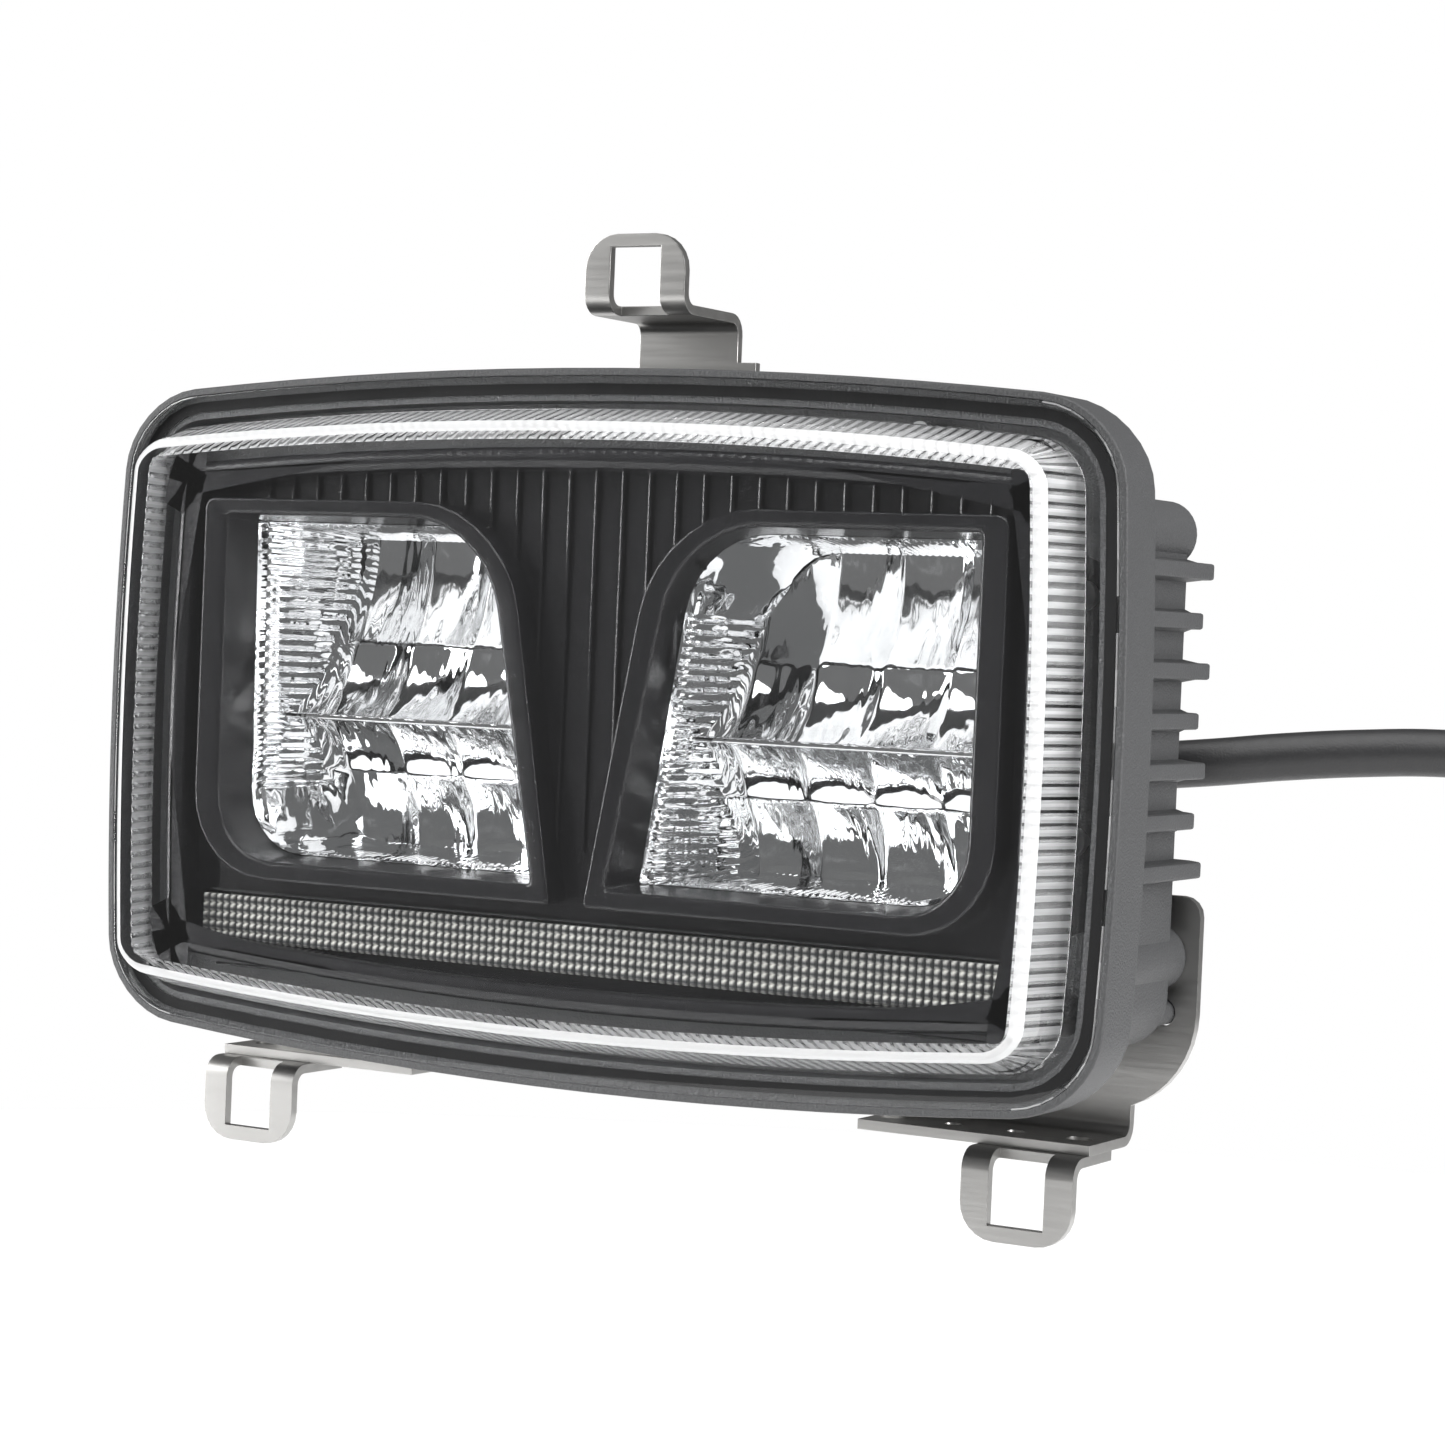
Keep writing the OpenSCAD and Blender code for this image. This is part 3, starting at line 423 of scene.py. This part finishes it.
# Bosses and locating pins for the three clips, the posts beside the fins and the cable outlet.
for side in (-1, 1):
    add_bar_y(rim, side * 94.8, -34.5, 5.75, 12, 40, 0.4)
    add_bar_y(rim, side * 96.5, -44, 2.2, 12, 42.5, 0.3, 20)
    add_bar_y(rim, side * 94.8, 38, 5.75, 12, 36.5, 0.4)
add_bar_y(rim, -4, 53, 5.2, 12, 34, 0.4)
add_bar_y(rim, 8.5, 53, 2.2, 12, 36.5, 0.3, 20)
add_block(rim, (-5.5, 12, 43), (-2.5, 33, 53), 0.4)
add_block(rim, (-6, 34, -15), (26, 63, 9), 2.2, 4)
stand_for("cast_housing", rim, powder_coat, "cast_housing", "housing")


# ---- Lens -------------------------------------------------------------------------------------
# Injection moulded clear polycarbonate with a hard coat: a flat flange glued into the rim and a
# dome with leaning sides, whose inner sides are moulded into rows of upright flutes.
clear_lens = Finish("clear_lens", Roughness=0.012, IOR=1.5)
clear_lens.shader.inputs["Base Color"].default_value = (0.97, 0.975, 0.98, 1)
clear_lens.shader.inputs["Transmission Weight"].default_value = 1.0


def let_light_in(finish, second=None, share=None):
    """Lets lamps shine through a clear piece, so that what is behind it is lit."""
    clear = finish.node("ShaderNodeBsdfTransparent")
    shadow = finish.node("ShaderNodeLightPath", output=1)
    body = Signal(finish, finish.shader.outputs[0])
    if second:
        body = finish.node("ShaderNodeMixShader", {}, {0: share, 1: body, 2: second})
    both = finish.node("ShaderNodeMixShader", {}, {0: shadow, 1: body, 2: clear})
    finish.tree.links.new(both.socket, finish.tree.nodes["Material Output"].inputs["Surface"])


# The flutes and the rounded edge of the dome are painted frosted white, a painted highlight that stands in
# for the light these clear faces catch; the mesh's own face attribute tells them apart.
painted_highlight_white = clear_lens.node("ShaderNodeBsdfPrincipled", {},
                          {"Base Color": (0.93, 0.935, 0.94, 1), "Roughness": 0.3})
frost = clear_lens.node("ShaderNodeAttribute", {"attribute_name": "frost"}, output=2)
let_light_in(clear_lens, painted_highlight_white, frost)


def round_the_rim(x, z, half_w, half_h, corner):
    """Distance along the crowned outline near a point, and the way out from it."""
    flat_x, flat_z = half_w - corner, half_h - corner
    side = Vector((x - max(-flat_x, min(flat_x, x)), z - max(-flat_z, min(flat_z, z))))
    if side.length < 1e-6:
        side = Vector((0, z)) if flat_z - abs(z) < flat_x - abs(x) else Vector((x, 0))
    turn = math.atan2(abs(side.y), abs(side.x))
    along = min(abs(z), flat_z) + corner * turn - min(abs(x), flat_x)
    return along, side.normalized()


lens = crowned_outline(1.4, 0)
push(lens, lens.faces[:], (0, 2.5, 0))
bmesh.ops.recalc_face_normals(lens, faces=lens.faces)
soften(lens, 0.35, 2, where=lambda spot: spot.y < 1)
dome = step_in(lens, facing(lens, 0), 5.45)
dome = step_in(lens, dome, 2.9, 9.6)
dome = step_in(lens, dome, 1.0, 1.0)
soften(lens, 0.7, 3, where=lambda spot: spot.y < -9, sharp=15)
hollow = step_in(lens, facing(lens, 2.5), 8.3)
rim_edges = [e for e in hollow[0].edges]
for edge in rim_edges:
    bmesh.ops.subdivide_edges(lens, edges=[edge], cuts=max(1, round(edge.calc_length() / 0.54) - 1))
flute_rows = []
for move, lean in ((0.05, 0), (1.2, 0.35), (2.2, 0.65), (3.6, 1.05), (1.6, 0.5), (1.0, 0.35), (0.6, 0.5)):
    hollow = push(lens, hollow, (0, -move, 0))
    row = hollow[0].verts[:]
    flute_rows.append(row)
    for v in row:
        along, out = round_the_rim(v.co.x, v.co.z, 94.3, 53.8, 8)
        v.co.x -= out.x * lean
        v.co.z -= out.y * lean
for number, row in enumerate(flute_rows):
    depth = (0, 0.35, 0.55, 0.55, 0.5, 0.25, 0)[number]
    for v in row:
        along, out = round_the_rim(v.co.x, v.co.z, 94.3 - number * 0.5, 53.8 - number * 0.5, 8)
        rise = depth * abs(math.sin(math.pi * along / 2.16))
        v.co.x -= out.x * rise
        v.co.z -= out.y * rise
# Painted highlight: each flute gets a white share that rises and falls across it, and the dome's rounded
# front edge gets a steady one.
painted_highlight_layer = lens.faces.layers.float.new("frost")
for face in lens.faces:
    spot = face.calc_center_median()
    along, out = round_the_rim(spot.x, spot.z, 94.3, 53.8, 8)
    if face.calc_area() < 60 and -8.3 < spot.y < 2.4 and abs(face.normal.y) < 0.95 and len(face.verts) == 4:
        inner = face.calc_area() < 3
        face[painted_highlight_layer] = 0.38 * abs(math.sin(math.pi * along / 2.16)) if inner else 0.0
    elif spot.y <= -8.3 and face.calc_area() < 40:
        face[painted_highlight_layer] = 0.55
bmesh.ops.recalc_face_normals(lens, faces=lens.faces)
stand_for("clear_lens", lens, clear_lens, "clear_lens", "lens")


# ---- Bezel ------------------------------------------------------------------------------------
# Black moulded frame behind the lens, in gloss ABS: a rounded outer ridge, a sunk field with upright
# ridges, and a raised frame round each of the two bowls. Four screws hold it to the rim.
black_gloss = Finish("black_gloss", Roughness=0.2, IOR=1.5)
black_gloss.tint(black_gloss.grain(40), (0.008, 0.008, 0.009), (0.013, 0.013, 0.014))
black_gloss.feed("Roughness", 0.12 + 0.1 * black_gloss.grain(260, 3))
black_gloss.relief(black_gloss.grain(160, 2), 0.00008)


bowl_front = ([(76.3, 35.3), (19.3, 35.3), (10.1, -26.6), (75.2, -26.6)], (0.6, 14, 0.6, 11.5))
frame_inner = ([(77.6, 36.3), (20.0, 36.5), (7.6, -27.8), (77.4, -27.8)], (0.8, 16, 0.8, 12.5))
frame_outer = ([(82.6, 39.4), (15.6, 39.4), (3.3, -31.2), (82.6, -31.2)], (2.2, 19, 1.5, 16))

field_y = 6.0
bezel = crowned_outline(13.9, 0.2)
bezel_back = push(bezel, bezel.faces[:], (0, 9.5, 0))
bmesh.ops.recalc_face_normals(bezel, faces=bezel.faces)
bmesh.ops.delete(bezel, geom=bezel_back, context="FACES_ONLY")
field = step_in(bezel, facing(bezel, 0.2), 4.2)
field = push(bezel, field, (0, 5.8, 0))
soften(bezel, 1.9, 5, where=lambda spot: spot.y < 1)
bmesh.ops.delete(bezel, geom=facing(bezel, field_y), context="FACES_ONLY")
for side in (-1, 1):
    openings = bmesh.new()
    four_sided(openings, *frame_outer, field_y, side)
    bmesh.ops.delete(openings, geom=openings.faces[:], context="FACES_ONLY")
    merge_into(bezel, openings)
bar_slot = bmesh.new()
slot_corners = [(82.9, -34.6), (-82.9, -34.6), (-82.9, -43.6), (82.9, -43.6)]
four_sided(bar_slot, slot_corners, (0.4,) * 4, field_y)
bmesh.ops.delete(bar_slot, geom=bar_slot.faces[:], context="FACES_ONLY")
merge_into(bezel, bar_slot)
outlines = [e for e in bezel.edges if all(abs(v.co.y - field_y) < 1e-3 for v in e.verts)]
bmesh.ops.triangle_fill(bezel, edges=outlines, use_beauty=True)
for side in (-1, 1):
    part = bmesh.new()
    rings = [four_sided(part, *frame_outer, 6.2, side), four_sided(part, *frame_outer, 0.0, side),
             four_sided(part, *frame_inner, 0.3, side), four_sided(part, *bowl_front, 9.2, side)]
    ring_edges = [[e for e in faces[0].edges] for faces in rings]
    bmesh.ops.delete(part, geom=part.faces[:], context="FACES_ONLY")
    for outer, inner in zip(ring_edges, ring_edges[1:]):
        bmesh.ops.bridge_loops(part, edges=outer + inner)
    soften(part, 0.75, 3, where=lambda spot: spot.y < 1, sharp=40)
    merge_into(bezel, part)

# Upright ridges on the sunk field, cut off by the frames; they run longest down the middle.
for i in range(-15, 16):
    x = i * 5.5
    foot = 38.5 if abs(x) > 25 else 38 - (25 - abs(x)) * 3.1
    foot = max(foot, -22)
    top = 47.3 - x * x / 2000
    ridge = bmesh.new()
    bmesh.ops.create_cube(ridge, size=1)
    bmesh.ops.scale(ridge, verts=ridge.verts, vec=(0.9, 1.6, top - foot))
    bmesh.ops.translate(ridge, verts=ridge.verts, vec=(x, 5.9, (top + foot) / 2))
    soften(ridge, 0.4, 2)
    merge_into(bezel, ridge)

# The slot for the running light, with thin steps above and below it.
add_block(bezel, (-84.2, 4.6, -34.2), (84.2, 6.2, -33.7), 0.15)
for z in (-45.2, -46.6, -48.0):
    add_block(bezel, (-80, 5.4, z - 0.25), (80, 6.4, z + 0.25), 0.15)
stand_for("moulded_bezel", bezel, black_gloss, "black_bezel", "bezel")


# ---- Bowls ------------------------------------------------------------------------------------
# Two moulded bowls with a vacuum-metallised, lacquered inside. Their leaning side walls are ribbed;
# a nose runs across the middle, and facets scoop back from it to the roof and to the floor.
mirror_coating = Finish("mirror_coating", Metallic=1.0, Roughness=0.05)
mirror_coating.tint(mirror_coating.grain(60), (0.86, 0.87, 0.88), (0.93, 0.93, 0.93))
streaks = mirror_coating.grain(210, 1, (1.7, 1.0, 0.3))
mirror_coating.relief(streaks + 0.15 * mirror_coating.grain(60, 1), 0.00035)


def deep_profile(rise, reach):
    """How far back a facet lies at a share of its height from the nose."""
    return 15 + reach * (1 - (1 - rise) ** 1.9)


for side, name in ((-1, "left"), (1, "right")):
    bowl = bmesh.new()
    four_sided(bowl, *bowl_front, 8.6, side)
    for edge in [e for e in bowl.edges if e.calc_length() > 8]:
        pitch = 2.05 if abs(edge.verts[0].co.x - edge.verts[1].co.x) < 20 else 1.3
        bmesh.ops.subdivide_edges(bowl, edges=[edge], cuts=round(edge.calc_length() / pitch * 5) - 1)
    mouth = bowl.faces[:]
    for y0, y1 in ((8.6, 8.9), (8.9, 10.4), (10.4, 10.8), (10.8, 15), (15, 22), (22, 29.5)):
        mouth = push(bowl, mouth, (0, y1 - y0, 0))
        for v in mouth[0].verts:
            v.co.x = side * 43 + (v.co.x - side * 43) * (1 - 0.0135 * (y1 - y0))
            v.co.z = 4 + (v.co.z - 4) * (1 - 0.0032 * (y1 - y0))
    for v in bowl.verts:
        if v.co.y > 10.6:
            level, across = v.co.z - 4, v.co.x - side * 43
            lean = 1 - 0.0135 * (v.co.y - 8.6)
            if abs(across) > 21 * lean and -24 < level < 22 or abs(across) > 29 * lean:
                v.co.x -= math.copysign(0.6 * abs(math.sin(math.pi * v.co.z / 2.05)), across)
            elif abs(level) > 28:
                v.co.z -= math.copysign(0.3 * abs(math.sin(math.pi * v.co.x / 1.3)), level)
    bmesh.ops.delete(bowl, geom=facing(bowl, 8.6) + mouth, context="FACES")
    for bottom, top, reach in ((-0.8, 36.5, 14), (-0.8, -28.5, 12.5)):
        facets = bmesh.new()
        bmesh.ops.create_grid(facets, x_segments=100, y_segments=40, size=0.5)
        for v in facets.verts:
            share, rise = v.co.x + 0.5, v.co.y + 0.5
            x = side * (9 + 70 * share)
            column = ((abs(x) - 10.5) / 13.1) % 1
            row = rise / 0.37 % 1 if rise < 0.37 else (rise - 0.37) / 0.63
            bulge = 1.7 * (1 - (2 * column - 1) ** 2) * (0.35 + 0.65 * math.sin(math.pi * min(1, row)))
            crease = 0.8 * (1 - (2 * row - 1) ** 2)
            v.co = (x, deep_profile(rise, reach) + bulge * 0.8 + crease, bottom + (top - bottom) * rise)
        merge_into(bowl, facets)
    nose = bmesh.new()
    bmesh.ops.create_cube(nose, size=1)
    bmesh.ops.scale(nose, verts=nose.verts, vec=(62, 2.4, 1.1))
    bmesh.ops.translate(nose, verts=nose.verts, vec=(side * 43, 15.2, -0.8))
    soften(nose, 0.35, 3)
    merge_into(bowl, nose)
    bmesh.ops.recalc_face_normals(bowl, faces=bowl.faces)
    stand_for(name + "_bowl", bowl, mirror_coating, "mirror_coating", name + "_reflector")


# ---- Running light ----------------------------------------------------------------------------
# A clear acrylic bar whose face is moulded into rows of small prisms; a strip of LEDs lies behind it.
prism_clear = Finish("prism_clear", Roughness=0.08, IOR=1.49)
# A wave of that Scale repeats every tau / 20 / Scale metres: 1.56 mm along the bar, 1.72 mm up it.
across = prism_clear.node("ShaderNodeTexWave", {"wave_type": "BANDS", "bands_direction": "X"},
                          {"Vector": prism_clear.place(), "Scale": 201.4}, output=1)
upwards = prism_clear.node("ShaderNodeTexWave", {"wave_type": "BANDS", "bands_direction": "Z"},
                           {"Vector": prism_clear.place(), "Scale": 182.6}, output=1)
# Painted glints: the base colour runs from dark to near white across a lattice of prisms. It stands in for
# the light that each prism catches.
painted_prism_glints = across * upwards * (0.6 + 0.8 * prism_clear.grain(500, 2))
prism_clear.tint(painted_prism_glints, (0.075, 0.077, 0.08), (0.86, 0.855, 0.8))
prism_clear.shader.inputs["Transmission Weight"].default_value = 0.15
bar = bmesh.new()
bmesh.ops.create_grid(bar, x_segments=106, y_segments=5, size=0.5, matrix=UPRIGHT)
bmesh.ops.scale(bar, verts=bar.verts, vec=(165.4, 1, 8.6))
bmesh.ops.translate(bar, verts=bar.verts, vec=(0, 4.6, -39.1))
cells = bar.faces[:]
push(bar, cells, (0, 7, 0))
bmesh.ops.recalc_face_normals(bar, faces=bar.faces)
cells = facing(bar, 4.6)
bmesh.ops.inset_individual(bar, faces=cells, thickness=0.42, depth=0.55, use_even_offset=True)
stand_for("prism_bar", bar, prism_clear, "clear_bar", "running_light_bar")


# ---- Clips ------------------------------------------------------------------------------------
# Five pieces of 1.8 mm stainless sheet, laser cut and bent: a top clip and two lower brackets screwed
# to the casting's bosses, and a small clip tacked under each lower bracket.
stainless = Finish("brushed_stainless", Metallic=1.0, Roughness=0.33)
brush = stainless.grain(900, 4, (0.06, 1.0, 1.0))
stainless.tint(stainless.grain(45, 4), (0.36, 0.355, 0.345), (0.47, 0.465, 0.455))
stainless.feed("Roughness", 0.26 + 0.2 * brush)
stainless.relief(brush, 0.00003)


def cleaned_copy(node, width, segments=2, sharp=35):
    """A merged copy of a CAD node's mesh in lamp millimetres, with its edges rounded."""
    bm = bmesh.new()
    bm.from_mesh(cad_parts[node].data)
    bmesh.ops.transform(bm, matrix=LAMP.inverted(), verts=bm.verts)
    bmesh.ops.remove_doubles(bm, verts=bm.verts, dist=0.002)
    bmesh.ops.dissolve_limit(bm, angle_limit=math.radians(0.5), verts=bm.verts, edges=bm.edges)
    bmesh.ops.recalc_face_normals(bm, faces=bm.faces)
    if width:
        edges = [e for e in bm.edges if len(e.link_faces) == 2 and e.calc_face_angle(0) > math.radians(sharp)]
        bmesh.ops.bevel(bm, geom=edges, affect="EDGES", offset=width, segments=segments, profile=0.5,
                        clamp_overlap=True, material=-1)
    return bm


for node in ("top_bracket", "left_bracket", "right_bracket", "left_clip", "right_clip"):
    sheet_piece = cleaned_copy(node, 0.18)
    if node.endswith("_clip"):
        side = -1 if node == "left_clip" else 1
        for x, y in ((89.5, 28), (72.5, 30)):
            bead = bmesh.new()
            at_seam = Matrix.Translation((side * x, y, -67.8)) @ Matrix.Diagonal((1.3, 2.4, 0.7, 1))
            bmesh.ops.create_icosphere(bead, subdivisions=3, radius=1, matrix=at_seam)
            merge_into(sheet_piece, bead)
    stand_for(node + "_sheet", sheet_piece, stainless, "stainless_sheet", node)

zinc_steel = Finish("zinc_steel", Metallic=1.0, Roughness=0.35)
zinc_steel.tint(zinc_steel.grain(150), (0.45, 0.46, 0.47), (0.62, 0.62, 0.61))
zinc_steel.feed("Roughness", 0.26 + 0.2 * zinc_steel.grain(900))
for node in ("top_bracket_screw", "left_bracket_screw", "right_bracket_screw"):
    stand_for(node + "_turned", cleaned_copy(node, 0.25), zinc_steel, "screw_steel", node)


# ---- Inside the lamp --------------------------------------------------------------------------
# Two white boards with three LEDs each lie on aluminium blades above and below each bowl; the blades
# end on grey pads at the casting. A green driver board stands behind, fed by three leads.
bare_aluminium = Finish("bare_aluminium", Metallic=1.0, Roughness=0.4)
bare_aluminium.tint(bare_aluminium.grain(90), (0.55, 0.56, 0.57), (0.68, 0.68, 0.69))
bare_aluminium.feed("Roughness", 0.34 + 0.16 * bare_aluminium.grain(900, 3, (0.1, 1.0, 1.0)))
board_white = Finish("board_white", Roughness=0.35)
board_white.tint(board_white.grain(200), (0.74, 0.74, 0.71), (0.82, 0.82, 0.80))
led_phosphor = Finish("led_phosphor", Roughness=0.3)
led_phosphor.tint(led_phosphor.grain(800), (0.80, 0.68, 0.12), (0.86, 0.78, 0.24))
pad_grey = Finish("pad_grey", Roughness=0.8)
pad_grey.tint(pad_grey.grain(1500), (0.36, 0.37, 0.39), (0.46, 0.47, 0.49))
board_green = Finish("board_green", Roughness=0.35)
tracks = board_green.node("ShaderNodeTexVoronoi", {"feature": "DISTANCE_TO_EDGE"},
                          {"Vector": board_green.place(), "Scale": 260.0}, output=0)
board_green.tint(tracks > 0.12, (0.06, 0.22, 0.09), (0.02, 0.12, 0.05))
component_black = Finish("component_black", Roughness=0.45)
component_black.tint(component_black.grain(700), (0.018, 0.018, 0.02), (0.035, 0.035, 0.037))
lead_insulation = Finish("lead_insulation", Roughness=0.4)
lead_insulation.tint(lead_insulation.grain(300), (0.30, 0.012, 0.01), (0.38, 0.02, 0.015))

def keep_shape(node, finish):
    """Gives a CAD node its finish."""
    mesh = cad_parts[node].data
    mesh.materials.clear()
    mesh.materials.append(finish.material)


for finish, nodes in ((bare_aluminium, ("left_heat_blades", "right_heat_blades")),
                      (board_white, ("left_led_boards", "right_led_boards", "running_light_board")),
                      (led_phosphor, ("left_led_chips", "right_led_chips", "running_light_leds")),
                      (pad_grey, ("thermal_pads",)), (board_green, ("driver_board",)),
                      (component_black, ("driver_inductor", "driver_capacitors", "driver_chips")),
                      (lead_insulation, ("inner_leads",)),
                      (zinc_steel, ("bezel_screws", "reflector_screws", "running_light_screws",
                                    "driver_board_screws"))):
    for node in nodes:
        keep_shape(node, finish)


# ---- Seals and cable outlet -------------------------------------------------------------------
# A rubber cord in the rim's groove seals the lens. At the back a moulded nut squeezes a rubber seal
# on the cable, and a ringed rubber sleeve keeps the cable from kinking; a breather is pressed in.
seal_rubber = Finish("seal_rubber", Roughness=0.7, IOR=1.5)
seal_rubber.tint(seal_rubber.grain(220), (0.014, 0.014, 0.015), (0.024, 0.024, 0.025))
seal_rubber.relief(seal_rubber.grain(2200, 2), 0.00005)
black_moulding = Finish("black_moulding", Roughness=0.45, IOR=1.5)
moulding_grain = black_moulding.grain(1800, 2)
black_moulding.tint(black_moulding.grain(60), (0.020, 0.020, 0.021), (0.030, 0.030, 0.032))
black_moulding.feed("Roughness", 0.38 + 0.2 * moulding_grain)
black_moulding.relief(moulding_grain, 0.00006)
for node in ("lens_gasket", "cable_seal"):
    keep_shape(node, seal_rubber)
gland = cleaned_copy("gland_nut", 0.4, 3, 25)
stand_for("moulded_gland_nut", gland, black_moulding, "black_moulding", "gland_nut")
breather = cleaned_copy("vent_plug", 0.35, 3)
stand_for("moulded_breather", breather, black_moulding, "black_moulding", "vent_plug")


def turned_along_x(profile, y, z, sides=40):
    """A closed ring turned about a line along X from points of place and radius."""
    bm = bmesh.new()
    spots = [bm.verts.new((x, y, z + r)) for x, r in profile]
    edges = [bm.edges.new(pair) for pair in zip(spots, spots[1:] + spots[:1])]
    bmesh.ops.spin(bm, geom=spots + edges, cent=(0, y, z), axis=(1, 0, 0), angle=math.tau, steps=sides,
                   use_merge=True)
    bmesh.ops.recalc_face_normals(bm, faces=bm.faces)
    return bm


outer = []
for i in range(9):
    start = 36 + i * 3.75
    girth = 7.5 - 0.24 * i
    outer += [(start + 0.25, girth - 0.25), (start + 0.6, girth), (start + 2.2, girth - 0.1),
              (start + 2.6, girth - 0.4), (start + 2.8, girth - 1.2), (start + 3.4, girth - 1.2)]
sleeve = turned_along_x([(36, 4.3), (36, 7.2)] + outer + [(70, 4.9), (70, 4.3)], 53, -3)
stand_for("ringed_sleeve", sleeve, seal_rubber, "seal_rubber", "strain_relief")


# ---- Connector --------------------------------------------------------------------------------
# Four-way sealed plug: nylon body under a rubber boot, an orange silicone seal round its nose, a
# hinged latch, an orange slide that locks the four brass terminals.
connector_plastic = Finish("connector_plastic", Roughness=0.42, IOR=1.53)
plastic_grain = connector_plastic.grain(1500, 2)
connector_plastic.tint(plastic_grain, (0.024, 0.025, 0.027), (0.036, 0.037, 0.04))
connector_plastic.relief(plastic_grain, 0.00005)
orange_seal = Finish("orange_seal", Roughness=0.5)
orange_seal.tint(orange_seal.grain(400), (0.52, 0.12, 0.02), (0.60, 0.16, 0.03))
orange_lock = Finish("orange_lock", Roughness=0.4)
orange_lock.tint(orange_lock.grain(300), (0.62, 0.09, 0.015), (0.70, 0.12, 0.02))
contact_metal = Finish("contact_metal", Metallic=1.0, Roughness=0.3)
contact_metal.tint(contact_metal.grain(700), (0.66, 0.50, 0.24), (0.76, 0.60, 0.32))
for node, finish in (("connector_body", connector_plastic), ("connector_boot", seal_rubber),
                     ("connector_seal", orange_seal), ("connector_latch", connector_plastic),
                     ("connector_lock", orange_lock), ("connector_terminals", contact_metal)):
    keep_shape(node, finish)
